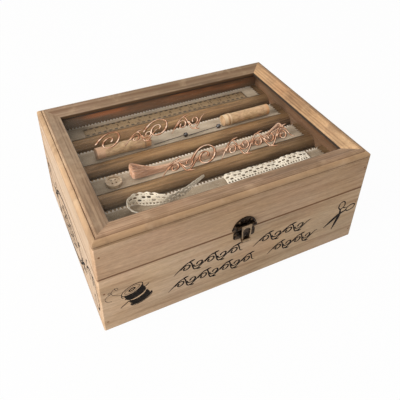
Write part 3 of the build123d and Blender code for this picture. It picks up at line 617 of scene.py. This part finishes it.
def pane_finish():
    """Clear picture glass with a thin grey film, heavier towards the left as a painted reflection."""
    coat = Finish("picture_glass", 0.06, 0.0, {"Specular IOR Level": 0.45})
    film = coat.noise((9, 26, 9), 3, 0.55, 0.6)
    tint = coat.ramp(film, (0.3, 0.7), tones((184, 168, 144), (212, 200, 180)))
    # Painted reflection: the film thickens towards the left, where the glass shows haze.
    side = coat.span(coat.along(0), -108 * MM, 50 * MM, 0.024, 0.004)
    film_and_reflection = coat.times(side, coat.span(film, 0.3, 0.7, 0.75, 1.25))
    coat.feed("Alpha", film_and_reflection)
    return coat.done(tint)


def ink_finish(name, thin, full, roughness):
    """A print that took unevenly on the surface under it."""
    coat = Finish(name, roughness, 0.0, {"Specular IOR Level": 0.08})
    grain = coat.noise((400, 400, 900))
    return coat.done(coat.ramp(grain, (0.5, 0.8), (full, thin)), grain, 0.03, 0.2)


def copper_finish():
    coat = Finish("copper_print", 0.36, 0.35)
    grain = coat.noise((120, 260, 400))
    fleck = coat.noise(1600, 2)
    tint = coat.ramp(grain, (0.3, 0.46, 0.66), tones((150, 98, 66), (204, 148, 110), (250, 220, 192)))
    coat.feed("Roughness", coat.span(fleck, 0.35, 0.7, 0.25, 0.5))
    return coat.done(tint, fleck, 0.06, 0.4)


# -------- finishes on the frame's own pieces


def dress(finish, *names):
    for name in names:
        for slot in nodes[name].material_slots:
            slot.material = finish


# How much a board's tint is lightened or darkened, at one end and from its middle on: on the front boards,
# painted light, lighter at the left end nearer the lamp; the left boards get one even, cooler tint.
PLAIN = ((1, 1, 1), (1, 1, 1))
LEFT_BOARD_TINT = ((0.90, 0.99, 1.11), (0.90, 0.99, 1.11))
FRONT_BASE_LIGHT_FALLOFF = ((1.25, 1.36, 1.52), (1.0, 1.08, 1.15))
FRONT_LID_LIGHT_FALLOFF = ((1.09, 1.08, 1.12), (0.97, 0.99, 1.02))
# Grain, the base board's and the lid board's washes, and how much painted light (glow) lifts the stained
# inside.
BOARDS = (
    ("front", 0, FRONT_BASE_LIGHT_FALLOFF, FRONT_LID_LIGHT_FALLOFF, 0.3),
    ("back", 0, PLAIN, PLAIN, 0.95),
    ("left", 1, LEFT_BOARD_TINT, LEFT_BOARD_TINT, 0.3),
    ("right", 1, PLAIN, PLAIN, 0.15),
)
for place, (side, grain, base_wash, lid_wash, glow) in enumerate(BOARDS):
    base_wood = board_finish(f"{side}_base_board_wood", grain, 2.3 + 5 * place, *base_wash)
    lid_wood = board_finish(f"{side}_lid_board_wood", grain, 3.1 + 7 * place, *lid_wash, glow)
    dress(base_wood, f"base_{side}_board")
    dress(lid_wood, f"lid_{side}_board")

# Grain, seed, the way inwards, the bead's tone, the wood's three tones and the two washes. The bead's tone
# paints light and shade: lighter on the left and front, darker on the back and right. The washes paint light
# falling off away from the front left.
MOULDINGS = {
    "front": (
        0, 4.2, 1, tone(160, 127, 88), tones((182, 152, 122), (160, 130, 101), (116, 89, 63)),
        (0.95, 0.93, 0.95), (0.80, 0.80, 0.81),
    ),
    "back": (
        0, 9.7, -1, tone(118, 97, 72), tones((162, 137, 107), (136, 111, 83), (92, 71, 49)),
        (0.95, 0.93, 1.0), (0.82, 0.83, 0.85),
    ),
    "left": (
        1, 6.4, 1, tone(178, 144, 106), tones((188, 161, 130), (160, 134, 105), (112, 89, 66)),
        (0.93, 0.90, 0.91), (0.88, 0.86, 0.86),
    ),
    "right": (
        1, 12.9, -1, tone(118, 96, 74), tones((200, 164, 122), (172, 134, 94), (108, 78, 50)),
        *PLAIN,
    ),
}
# Glass bead tones: the back and right beads are painted darker, as the shade in the gap under the moulding.
LIGHT_BEAD = tones((128, 92, 58), (100, 70, 44), (66, 44, 28))
SHADED_GLASS_BEAD = tones((88, 63, 40), (66, 46, 29), (44, 30, 19))
for side, (grain, *makings) in MOULDINGS.items():
    dress(moulding_finish(f"{side}_moulding_wood", grain, *makings), f"frame_{side}_moulding")
    bead_tones = SHADED_GLASS_BEAD if side in ("back", "right") else LIGHT_BEAD
    dress(plain_wood(f"{side}_bead_wood", grain, 3.3, bead_tones), f"{side}_glass_bead")

for number in (1, 2, 3, 4):
    dress(slat_finish(f"slat_wood_{number}", 6.1 * number), f"display_slat_{number}")
dress(plain_wood("divider_wood_long", 0, 8.2, PLY_TONES), "long_divider")
dress(plain_wood("divider_wood_cross", 1, 1.9, PLY_TONES), "left_cross_divider", "right_cross_divider")
dress(plain_wood("base_plywood", 0, 7.7, PLY_TONES, 0.5, 1.2, 0.1), "base_bottom_panel")
dress(panel_finish("lid_plywood", 2.8), "lid_bottom_panel")

# The needle cases' rings: place along the box and width in millimetres, tone, and how strongly it shows.
PALE, ORANGE, DARK, PINK = tones((226, 200, 162), (196, 138, 88), (104, 70, 44), (206, 160, 132))
LEFT_RINGS = (
    (-81, 8, PINK, 0.5),
    (-84.8, 0.8, DARK, 0.7),
    (-40.5, 0.5, DARK, 0.7),
    (-37.5, 4.4, ORANGE, 0.6),
)
RIGHT_RINGS = (
    (42.2, 3.6, PALE, 0.7),
    (45.4, 0.5, DARK, 0.55),
    (47.2, 1.6, PALE, 0.6),
    (88.2, 2.4, ORANGE, 0.6),
)
for side, rings, spot in (("left", LEFT_RINGS, 0.4), ("right", RIGHT_RINGS, 2.4)):
    turned = turned_finish(f"{side}_needle_case_wood", rings, spot)
    dress(turned, f"{side}_needle_case_body", f"{side}_needle_case_cap")

dress(button_finish(), "button")
dress(glass_bead_finish(), "pin_heads")
dress(pane_finish(), "glass_pane")
dress(steel_finish("dark_pin_steel", *tones((92, 86, 80), (60, 52, 46))), "pin_shafts")
nail_steel = steel_finish("stained_nail_steel", *tones((158, 118, 84), (116, 78, 50)))
dress(nail_steel, "base_corner_nails", "lid_corner_nails")
plate_bronze = bronze_finish("antique_bronze_plate", tone(176, 146, 112))
dress(plate_bronze, "latch_catch_plate", "latch_catch_nails", "latch_lid_plate", "latch_lid_nails")
dress(plate_bronze, "hinge_base_nails", "hinge_lid_nails")
for side in ("left", "right"):
    dress(plate_bronze, *[f"{side}_hinge_{part}" for part in ("base_leaf", "lid_leaf", "pin")])
hasp_bronze = bronze_finish("rubbed_and_highlit_bronze_hasp", tone(186, 158, 126), HALF_DEPTH + 3.6 * MM)
dress(hasp_bronze, "latch_hasp", "latch_pin")


# -------- pinked felt strips

FELT_THICKNESS = 0.85 * MM
RIPPLE = 0.03 * MM
TOOTH_PITCH = 3.1 * MM
TOOTH_DEPTH = 2.7 * MM
# How far the points one and two rows behind the teeth draw back.
DRAWN_BACK = {1: 1.6 * MM, 2: 0.6 * MM}


def pinked_felt(number, finish, cut_edge):
    """A felt strip cut with pinking shears along its back edge and both ends, lying on its slat."""
    low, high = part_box(f"felt_strip_{number}")
    width, depth = high.x - low.x, high.y - low.y
    columns = 2 * round(width / TOOTH_PITCH)
    rows = 2 * round(depth / TOOTH_PITCH)
    cloth = flat_grid(columns, rows, width, depth)
    wave = random.Random(40 + number)
    phases = [wave.uniform(0, 6) for _ in range(4)]
    for vert in cloth.verts:
        column = round((vert.co.x / width + 0.5) * columns)
        row = round((vert.co.y / depth + 0.5) * rows)
        from_back, from_end = rows - row, min(column, columns - column)
        inwards = 1 if column < columns / 2 else -1
        notch = TOOTH_DEPTH * wave.uniform(0.8, 1.0)
        if from_back == 0 and column % 2:
            vert.co.y -= notch
        if from_end == 0 and row % 2:
            vert.co.x += inwards * notch
        vert.co.y -= DRAWN_BACK.get(from_back, 0)
        vert.co.x += inwards * DRAWN_BACK.get(from_end, 0)
        ripple = sin(vert.co.x * 70 + phases[0]) + sin(vert.co.x * 190 + vert.co.y * 240 + phases[1])
        curl = 0.35 * MM * wave.uniform(0.3, 1.0) if from_back == 0 and column % 2 == 0 else 0.0
        vert.co.z = RIPPLE * ripple + curl
    bmesh.ops.translate(cloth, vec=(low + high) / 2, verts=cloth.verts)
    piece = finished_piece(f"pinked_felt_{number}", cloth, finish, smooth=False)
    piece.data.materials.append(cut_edge)
    thicken(piece, FELT_THICKNESS).material_offset_rim = 1
    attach(piece, "lid")
    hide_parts(f"felt_strip_{number}")


wool_edge = felt_finish("cut_edge_of_felt", *tones((168, 152, 130), (140, 124, 102), (104, 90, 72)))
# One felt in four tones: each strip's tones are set lighter or darker to paint the light and shade where it
# lies.
FELT_LIGHT_AND_SHADE_TONES = (
    tones((194, 176, 151), (177, 158, 133), (148, 130, 106)),
    tones((206, 188, 164), (188, 169, 144), (156, 137, 113)),
    tones((198, 179, 155), (180, 160, 135), (148, 129, 106)),
    tones((184, 165, 141), (166, 147, 122), (138, 119, 95)),
)
for number, wool_tones in enumerate(FELT_LIGHT_AND_SHADE_TONES, 1):
    back_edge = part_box(f"felt_strip_{number}")[1].y
    pinked_felt(number, felt_finish(f"grey_wool_felt_{number}", *wool_tones, back_edge), wool_edge)


# -------- tape measure

TAPE_THICKNESS = 0.3 * MM
NUMBER_PITCH = 11 * MM
NUMBER_SIZE = 5.2 * MM
NUMBER_LIFT = 0.04 * MM
LAST_NUMBER = 15
tape_low, tape_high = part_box("tape_measure")


def tape_measure():
    """The tape's cloth, lying flat with a slight ripple, its left cut end a little off square."""
    width, depth = tape_high.x - tape_low.x, tape_high.y - tape_low.y
    cloth = flat_grid(90, 6, width, depth)
    for vert in cloth.verts:
        vert.co.z = RIPPLE * sin(vert.co.x * 110)
        if vert.co.x < -width / 2 + 1e-6:
            vert.co.x += 0.8 * MM * (vert.co.y / depth + 0.5)
    bmesh.ops.translate(cloth, vec=(tape_low + tape_high) / 2, verts=cloth.verts)
    piece = finished_piece("tape_measure_cloth", cloth, tape_finish(tape_low, tape_high))
    thicken(piece, TAPE_THICKNESS)
    return piece


def tape_numbers(finish):
    """Plain counting numbers along the middle of the tape, just clear of its ripple."""
    middle, top = (tape_low.y + tape_high.y) / 2, tape_high.z + NUMBER_LIFT
    shape = bmesh.new()
    for number in range(1, LAST_NUMBER + 1):
        figure = bpy.data.curves.new("number", "FONT")
        figure.body = str(number)
        figure.size = NUMBER_SIZE
        figure.align_x = "CENTER"
        figure.align_y = "CENTER"
        figure.resolution_u = 2
        drawn = mesh_of(figure, "number")
        place = (tape_low.x + number * NUMBER_PITCH, middle, top)
        bmesh.ops.translate(drawn, vec=place, verts=drawn.verts)
        add_shape(shape, drawn)
    return finished_piece("tape_numbers", shape, finish, smooth=False)


tape_ink = ink_finish("brown_tape_ink", tone(84, 62, 42), tone(46, 34, 24), 0.6)
tape = tape_measure()
numbers = tape_numbers(tape_ink)
for piece in (tape, numbers):
    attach(piece, "lid")
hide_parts("tape_measure")


# -------- floss skein

STRAND = 0.56 * MM
LOOPS = 26
# Along the box from the skein's middle to its turns, and from there back to knee, neck and waist.
TURN, KNEE, NECK, WAIST = 72.5 * MM, 8 * MM, 19 * MM, 39 * MM


def skein_route():
    """One strand wound round and round: bunched at the waist, and spread out where the loops turn."""
    low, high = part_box("floss_skein")
    jitter = random.Random(11)
    middle = (low.x + high.x) / 2
    end_y = (low.y + high.y) / 2
    waist_y = end_y - 3.1 * MM
    lowest = low.z + 0.5 * MM
    route = []
    for loop in range(LOOPS):
        lift = loop / (LOOPS - 1)
        level = lowest + lift * (high.z - low.z - 1.0 * MM)
        bulge = (1 - (2 * lift - 1) ** 2) ** 0.5
        reach = (3.0 + 3.4 * bulge) * MM * (1.0 if loop % 3 else 0.62)
        waist_level = lowest + (loop // 3) * 0.58 * MM
        knee_level = waist_level * 0.42 + level * 0.58
        for side, end in ((1, -1), (-1, 1)):
            wobble = [jitter.uniform(-0.25, 0.25) * MM for _ in range(6)]
            spread = (reach + wobble[1]) * (0.9 if end > 0 else 1.0)
            turn_x, turn_y = middle + end * (TURN + wobble[0]), end_y + wobble[2]
            knee, neck, waist = [middle + end * (TURN - back) for back in (KNEE, NECK, WAIST)]
            knee_y = (waist_y + turn_y) / 2
            waist_out = side * (0.32 + 0.56 * (loop % 3)) * MM
            turn_out = side * spread
            knee_out = waist_out * 0.5 + turn_out * 0.52
            route += [
                (waist, waist_y + waist_out, waist_level),
                (neck, waist_y + waist_out * 1.05, waist_level + wobble[3] * 0.3),
                (knee, knee_y + knee_out, knee_level),
                (turn_x, turn_y + turn_out, level),
                (turn_x + end * spread * 0.26, turn_y + turn_out * 0.9, level),
                (turn_x + end * spread * 0.36, turn_y, level),
                (turn_x + end * spread * 0.26, turn_y - turn_out * 0.9, level),
                (turn_x, turn_y - turn_out, level),
                (knee, knee_y - knee_out, knee_level),
                (neck, waist_y - waist_out * 1.05, waist_level - wobble[4] * 0.3),
                (waist, waist_y - waist_out, waist_level),
            ]
    return route


skein = finished_piece(
    "floss_skein_strands",
    mesh_of(thread_curve("floss", skein_route(), STRAND / 2, 3, 1), "floss"),
    floss_finish(),
)
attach(skein, "lid")
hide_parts("floss_skein")


# -------- cotton lace

LACE_ROWS = 9
LACE_CELL = 12.5 * MM / LACE_ROWS
LACE_THICKNESS = 0.4 * MM
# In cells: from flower to flower, how far eyelets widen, the rim round a fine hole, and the scallops.
FLOWER_PITCH, EYELET_GROWTH, FINE_RIM, SCALLOP_DEPTH = 8, 0.2, 0.26, 1.1
# The eyelets of a flower and the fine holes round it: cells from its middle, and the row.
PETALS = {(2, 5), (3, 5), (-3, 5), (-2, 5), (0, 7), (-1, 7), (0, 3), (-1, 3)}
FINE_HOLES = {(2, 3), (-3, 3), (4, 3), (2, 7), (-3, 7), (4, 7)}


def edge_line(corners):
    """Points along a soft line through the given corners, which are in millimetres."""
    line = thread_curve("lace_line", [Vector(corner) * MM for corner in corners], 0.0, 24, 0)
    drawn = mesh_of(line, "lace_line")
    dots = [vert.co.copy() for vert in drawn.verts]
    drawn.free()
    return dots


def lace_cloth(columns):
    """Flat lace, one unit to a cell: flowers of four eyelets, a row of eyelets, fine holes, scallops."""
    cloth = flat_grid(columns, LACE_ROWS, columns, LACE_ROWS)
    bmesh.ops.translate(cloth, vec=(columns / 2, LACE_ROWS / 2, 0), verts=cloth.verts)
    wide, fine = [], []
    for face in cloth.faces:
        centre = face.calc_center_median()
        column, row = int(centre.x), int(centre.y)
        across = (column - 1) % FLOWER_PITCH - 3
        if 1 <= column < columns - 1:
            if (across, row) in PETALS or (row == 1 and column % 2):
                wide.append(face)
            elif (across, row) in FINE_HOLES:
                fine.append(face)
    rims = {}
    for face in wide:
        for vert in face.verts:
            rims.setdefault(vert, []).append(face.calc_center_median())
    for vert, centres in rims.items():
        centre = sum(centres, Vector()) / len(centres)
        vert.co += (vert.co - centre) * EYELET_GROWTH
    bmesh.ops.inset_individual(cloth, faces=fine, thickness=FINE_RIM, depth=0.0)
    bmesh.ops.delete(cloth, geom=wide + fine, context="FACES")
    for vert in cloth.verts:
        if vert.co.y > LACE_ROWS - 1.2:
            swing = abs(sin(2 * pi * vert.co.x / FLOWER_PITCH))
            vert.co.y -= (1 - swing) * (SCALLOP_DEPTH if vert.co.y > LACE_ROWS - 0.01 else 0.3)
    return cloth


def lace_piece(name, edges, crown, finish, replaced):
    """Bends flat lace between its plain and its scalloped edge, which follow the given pairs of points."""
    plain = edge_line([corner for corner, _ in edges])
    scalloped = edge_line([corner for _, corner in edges])
    reached = [0.0]
    for before, after in zip(plain, plain[1:]):
        reached.append(reached[-1] + (after - before).length)
    length = reached[-1]
    columns = round(length / LACE_CELL)
    cloth = lace_cloth(columns)
    for vert in cloth.verts:
        wanted = length * vert.co.x / columns
        index = min(max(bisect_left(reached, wanted), 1), len(plain) - 1)
        share = (wanted - reached[index - 1]) / max(reached[index] - reached[index - 1], 1e-9)
        low = plain[index - 1].lerp(plain[index], share)
        high = scalloped[index - 1].lerp(scalloped[index], share)
        up = vert.co.y / LACE_ROWS
        vert.co = low.lerp(high, up) + Vector((0, 0, crown * MM * sin(pi * up)))
    piece = finished_piece(name, cloth, finish)
    thicken(piece, LACE_THICKNESS)
    rounding = piece.modifiers.new("rounding", "SUBSURF")
    rounding.levels = rounding.render_levels = 1
    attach(piece, "lid")
    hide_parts(replaced)


# Points along the plain and the scalloped edge, in millimetres. The folded end makes a loop that leans
# forward in front and stands behind, then narrows to a long tip.
FOLDED_EDGES = (
    ((-58, -58.5, 77.7), (-61.5, -66.0, 85.4)),
    ((-70, -57.0, 77.7), (-74, -64.6, 85.6)),
    ((-76.5, -52.5, 77.7), (-80.5, -60.2, 85.8)),
    ((-79, -47.5, 77.7), (-83, -55, 86.0)),
    ((-78.6, -44, 77.7), (-82.8, -49.5, 87)),
    ((-75.6, -43.6, 77.7), (-79.8, -45.6, 88.4)),
    ((-72.2, -45.8, 77.7), (-75.7, -43.8, 89.2)),
    ((-68.2, -48.8, 77.7), (-70.7, -43.4, 88.8)),
    ((-63.1, -51, 77.7), (-65.3, -44.4, 88.2)),
    ((-58.5, -52.3, 77.7), (-60.7, -47.6, 88.8)),
    ((-53.7, -53.2, 77.7), (-56.5, -51.5, 89.2)),
    ((-49.5, -53.6, 77.7), (-52.7, -55, 88.8)),
    ((-45.5, -53.2, 77.9), (-49, -56.6, 88.4)),
    ((-42, -53.2, 79), (-44.6, -56.0, 89.0)),
    ((-37.5, -54, 80), (-39.1, -55.0, 89.2)),
    ((-31.5, -52.5, 81.2), (-33.1, -53.2, 88.8)),
    ((-22.5, -47.5, 82.4), (-23.7, -48.3, 88.2)),
    ((-12.4, -43.2, 83.6), (-13.4, -43.8, 86.8)),
)
# The other end lies along the felt in low waves, its scalloped edge lifted.
LAID_EDGES = (
    ((4.2, -54.6, 77.6), (4.2, -43.6, 78.6)),
    ((7, -55.1, 77.6), (7, -43.3, 80.0)),
    ((14, -54.9, 77.7), (14, -43.4, 80.2)),
    ((22, -55.1, 78.2), (22, -44.0, 79.0)),
    ((30, -54.5, 77.6), (30, -43.4, 79.8)),
    ((38, -55.1, 78.5), (38, -44.2, 78.6)),
    ((46, -54.9, 77.6), (46, -43.6, 79.4)),
    ((52, -55.1, 77.6), (52, -44.8, 77.9)),
    ((58, -54.7, 77.6), (58, -43.8, 78.8)),
    ((64, -55.1, 78.4), (64, -43.3, 80.2)),
    ((72, -54.7, 77.6), (72, -43.6, 80.1)),
    ((80, -55.1, 78.5), (80, -43.3, 80.1)),
    ((85, -54.5, 77.6), (85, -44.0, 79.0)),
    ((87.8, -54.2, 77.8), (87.8, -44.5, 78.2)),
)
cotton = lace_finish()
lace_piece("cotton_lace_loop", FOLDED_EDGES, 0.0, cotton, "lace_loop")
lace_piece("cotton_lace_length", LAID_EDGES, 0.3, cotton, "lace_length")


# -------- prints

INK_LIFT = 0.045  # millimetres


def pen_strokes(name, strokes, origin, across, up, finish, body, slot, press):
    """Draws strokes, a hair proud, on a flat face. Each is a list of (across, up, line width) in mm."""
    shape = bmesh.new()
    for stroke in strokes:
        # A thread 1 mm thick, which each point widens to its line width.
        line = thread_curve("stroke", [(u, v, 0) for u, v, _ in stroke], 0.5, 4, 0, min(4, len(stroke)))
        for point, (_, _, width) in zip(line.splines[0].points, stroke):
            point.radius = width * press
        drawn = mesh_of(line, "stroke")
        bmesh.ops.scale(drawn, vec=(1, 1, 0.0), verts=[v for v in drawn.verts if v.co.z < 0])
        bmesh.ops.scale(drawn, vec=(1, 1, 2 * INK_LIFT), verts=[v for v in drawn.verts if v.co.z > 0])
        add_shape(shape, drawn)
    across, up = Vector(across), Vector(up)
    turn = Matrix((across, up, across.cross(up))).transposed().to_4x4()
    place = Matrix.Translation(origin) @ turn @ Matrix.Scale(MM, 4)
    bmesh.ops.transform(shape, matrix=place, verts=shape.verts)
    piece = finished_piece(name, shape, finish)
    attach(piece, body)


def tendril(start, end, base, height, curls, slant, weight):
    """A penned vine: a waved stem, a spiral springing into each wave, and a leaf on the wave's back."""
    pitch = (end - start) / curls
    middle = base + height / 2
    stem = [(start - 0.3 * pitch, middle - 0.5 * height, 0.3)]
    strokes = []
    for curl in range(curls):
        side = 1 if curl % 2 == 0 else -1
        x = start + pitch * curl
        stem += [(x, middle, 0.9), (x + 0.5 * pitch, middle + side * 0.82 * height, 0.6)]
        spiral = []
        for step in range(10):
            angle = side * (pi - 0.25 * pi * step)
            reach = 1.0 - 0.075 * step
            u = x + (0.5 + cos(angle) * reach * 0.45) * pitch
            v = middle + (sin(angle) * reach * 0.4 - side * 0.06) * height
            spiral.append((u, v, 0.45 + 0.6 * abs(cos(angle))))
        crown = middle + side * 0.44 * height
        leaf = [
            (x + 0.45 * pitch, crown, 0.3),
            (x + 0.68 * pitch, crown + side * 0.18 * height, 1.9),
            (x + 0.98 * pitch, crown + side * 0.16 * height, 0.25),
        ]
        strokes += [spiral, leaf]
    side = 1 if curls % 2 == 0 else -1
    stem += [
        (end, middle, 0.9),
        (end + 0.25 * pitch, middle + side * 0.4 * height, 0.5),
        (end + 0.45 * pitch, middle + side * 0.3 * height, 0.25),
    ]
    strokes.append(stem)
    return [[(u + slant * (v - base), v, width * weight) for u, v, width in stroke] for stroke in strokes]


def scroll(centre, size, slant, weight):
    """A spiral that opens outward and ends in a tail, as at the start of a length of thread."""
    steps = 14
    stroke = []
    for step in range(steps + 1):
        share = step / steps
        angle = -0.6 + 2 * pi * 1.6 * share
        reach = size * (0.16 + 0.84 * share)
        up = sin(angle) * reach
        weight_here = weight * (0.45 + 0.6 * abs(cos(angle + 0.6)))
        stroke.append((centre[0] + cos(angle) * reach * 0.8 + slant * up, centre[1] + up, weight_here))
    return stroke


def oval(centre, half_across, half_up, tilt, weight, start=0.0, steps=14):
    """A leaning oval, or what is left of it from a share of its round on."""
    stroke = []
    for step in range(steps + 1):
        angle = 2 * pi * (start + (1 - start) * step / steps)
        u, v = cos(angle) * half_across, sin(angle) * half_up
        across = centre[0] + u * cos(tilt) - v * sin(tilt)
        up = centre[1] + u * sin(tilt) + v * cos(tilt)
        stroke.append((across, up, weight))
    return stroke


def even(width, *places):
    """A stroke of one width."""
    return [(*place, width) for place in places]


def front_scrollwork():
    """Four lengths of vine in two lines across the front."""
    slant = 0.45
    return [
        *tendril(-58.0, -5.0, 34.8, 10.0, 5, slant, 1.05),
        *tendril(14.0, 60.0, 35.0, 9.8, 4, slant, 1.05),
        *tendril(-63.0, 8.0, 17.6, 10.0, 7, slant, 1.05),
        *tendril(29.0, 70.0, 17.8, 9.8, 4, slant, 1.05),
    ]


def spool_picture():
    """A leaning cotton reel with a needle behind it and its thread's end curling off to the left."""
    tilt = radians(22)
    top, foot = (-95.3, 38.2), (-88.8, 25.0)
    thread = ((-103.6, 35.6), (-108, 37.4), (-112.5, 40.6), (-110.4, 45.4))
    knot = ((-106.4, 46.6), (-105.2, 43.6), (-108.2, 43.0), (-108.6, 46.6))
    tail = ((-111.2, 41.4), (-115.6, 40.0), (-117.4, 36.6), (-115.2, 33.2), (-111.4, 32.8))
    strokes = [
        oval(top, 9.4, 4.3, tilt, 0.55),
        oval(top, 6.6, 2.8, tilt, 0.35),
        oval(top, 2.6, 1.1, tilt, 0.9),
        oval(foot, 9.4, 4.2, tilt, 0.9, 0.5, 10),
        oval((foot[0] + 0.4, foot[1] - 1.2), 9.6, 4.2, tilt, 0.5, 0.5, 10),
        even(0.5, (-104.0, 34.6), (-104.2, 32.8), (-102.6, 31.4)),
        [(-86.8, 42.2, 0.5), (-86.6, 40.2, 0.6), (-86.8, 38.0, 0.5)],
        [(-105.6, 20.8, 0.5), (-103.0, 22.8, 0.9), (-100.2, 24.8, 0.8), (-98.4, 26.2, 0.6)],
        [(-84.6, 36.2, 0.6), (-82.8, 37.6, 0.8), (-81.6, 38.8, 0.5)],
        even(0.3, *thread, *knot),
        even(0.3, *tail),
        oval((-112.6, 42.4), 1.3, 1.0, 0.3, 0.28, steps=8),
    ]
    windings = 9
    for winding in range(windings):
        if winding != windings // 2:  # a loose turn crosses its place
            share = (winding + 0.5) / windings
            across = top[0] + (foot[0] - top[0]) * share + 0.4
            up = top[1] + (foot[1] - top[1]) * share - 1.2
            strokes.append(oval((across, up), 7.9, 3.6, tilt, 1.5, 0.5, 8))
    strokes.append([(-101.4, 29.4, 1.2), (-95.2, 29.0, 1.4), (-88.6, 33.4, 1.2), (-84.8, 36.4, 0.9)])
    return strokes


def scissors_picture():
    """Open embroidery scissors, handles up and to the right, points down and to the left."""
    left_shank = [(100.4, 41.4, 1.1), (100.0, 39.6, 1.4), (101.4, 36.6, 1.8)]
    right_shank = [(107.2, 38.0, 1.1), (104.6, 36.8, 1.4), (101.0, 36.4, 1.8)]
    return [
        oval((101.2, 45.7), 3.4, 4.5, radians(-12), 0.95),
        oval((111.8, 39.4), 5.0, 3.1, radians(20), 0.95),
        left_shank + [(99.4, 31.4, 2.6), (97.2, 24.6, 2.2), (94.8, 18.2, 0.5)],
        right_shank + [(95.8, 32.4, 2.6), (90.6, 28.6, 2.2), (84.8, 24.0, 0.5)],
        [(103.2, 42.4, 0.8), (105.2, 40.6, 0.9), (106.6, 41.6, 0.7)],
        oval((101.2, 36.6), 0.7, 0.7, 0, 0.9, steps=6),
    ]


def side_ornament():
    """An oval frame of two lines with a bow of leaves at each end and rows of tendrils inside it."""
    centre = (-8.5, 24.5)
    strokes = [
        oval(centre, 44, 21.5, 0, 1.3, steps=26),
        oval(centre, 41.2, 19.2, 0, 0.6, steps=26),
    ]
    for end in (-1, 1):
        x = centre[0] + end * 47
        for lean, length in ((0.0, 12), (0.75, 11), (-0.75, 11), (1.5, 8), (-1.5, 8), (2.4, 9), (-2.4, 9)):
            tip = (x + end * cos(lean) * length, centre[1] + sin(lean) * length)
            middle = ((x + tip[0]) / 2, (centre[1] + tip[1]) / 2)
            bow = (-sin(lean) * 1.3 * end, cos(lean) * 1.3)
            for bend, root, width in ((1, 0.5, 1.5), (-1, 0.4, 0.7)):
                back = (middle[0] + bend * bow[0], middle[1] + bend * bow[1], width)
                strokes.append([(x, centre[1], root), back, (*tip, 0.3)])
        for lift in (-1, 1):
            dot = (x - end * 7, centre[1] + lift * 15.5)
            strokes.append(oval(dot, 2.6, 1.5, lift * end * 0.8, 1.2, steps=8))
    for row, half in ((32.0, 20), (24.2, 27), (16.4, 21)):
        strokes += tendril(centre[0] - half, centre[0] + half, row - 2.5, 5.0, round(half / 3.2), 0.2, 0.75)
    branch_and_leaves = (
        (
            (0.0, 25, 0.5), (0.08, 39, 0.9), (0.4, 48, 1.3), (0.85, 43, 1.3), (1.02, 29, 1.1),
            (0.92, 15, 1.0), (0.66, 12, 0.9), (0.5, 20, 0.8), (0.68, 27, 0.7), (0.78, 21, 0.5),
        ),
        ((0.12, 38, 0.3), (0.1, 46, 1.9), (0.26, 50, 0.3)),
        ((0.2, 40, 0.3), (0.36, 40, 1.9), (0.36, 31, 0.3)),
        ((0.55, 45, 0.3), (0.66, 39, 1.9), (0.58, 33, 0.3)),
        ((0.6, 46, 0.3), (0.78, 50, 1.9), (0.96, 45, 0.3)),
    )
    for x, reach in ((50.0, 35.0), (-67.0, -19.0)):
        strokes += [[(x + reach * u, v, width) for u, v, width in line] for line in branch_and_leaves]
    return strokes


def glass_flourish():
    """Copper tendrils in two loose lines over the pane, with large scrolls between them."""
    slant = 0.5
    return [
        scroll((-72, 22), 15.5, slant, 2.0),
        *tendril(-59, -37, 10.0, 15.0, 2, slant, 1.6),
        scroll((-27, 23), 16.5, slant, 2.0),
        *tendril(-15, 9, 10.0, 20.0, 2, slant, 1.7),
        *tendril(-45, -20, -41.0, 15.0, 2, slant, 1.6),
        scroll((-5, -30), 16.0, slant, 2.0),
        *tendril(8, 72, -41.0, 20.0, 5, slant, 1.7),
    ]


black_ink = ink_finish("black_ink", tone(66, 54, 44), tone(22, 18, 16), 0.7)
copper = copper_finish()
front_face = ((0, -HALF_DEPTH, 0), (1, 0, 0), (0, 0, 1))
left_face = ((-HALF_WIDTH, 0, 0), (0, -1, 0), (0, 0, 1))
pane_face = ((0, 0, GLASS_TOP), (1, 0, 0), (0, 1, 0))
for name, strokes, face, press in (
    ("printed_scrollwork", front_scrollwork(), front_face, 1.6),
    ("printed_spool", spool_picture(), front_face, 1.3),
    ("printed_scissors", scissors_picture(), front_face, 1.35),
    ("printed_side_ornament", side_ornament(), left_face, 1.9),
):
    pen_strokes(name, strokes, *face, black_ink, "base", "case_wood", press)
# A wider, darker print under the copper: an outline, and a painted shadow round the copper strokes.
brown_edge_and_shadow = ink_finish("brown_edge_ink_and_painted_shadow", tone(136, 88, 58), tone(104, 62, 38), 0.6)
pen_strokes("printed_flourish_edge_and_shadow", glass_flourish(), *pane_face, brown_edge_and_shadow, "lid", "pane", 1.3)
upper_face = ((0, 0, GLASS_TOP + 0.12 * MM), *pane_face[1:])
pen_strokes("printed_glass_flourish", glass_flourish(), *upper_face, copper, "lid", "pane", 0.72)


# -------- last update of the scene

bpy.context.view_layer.update()
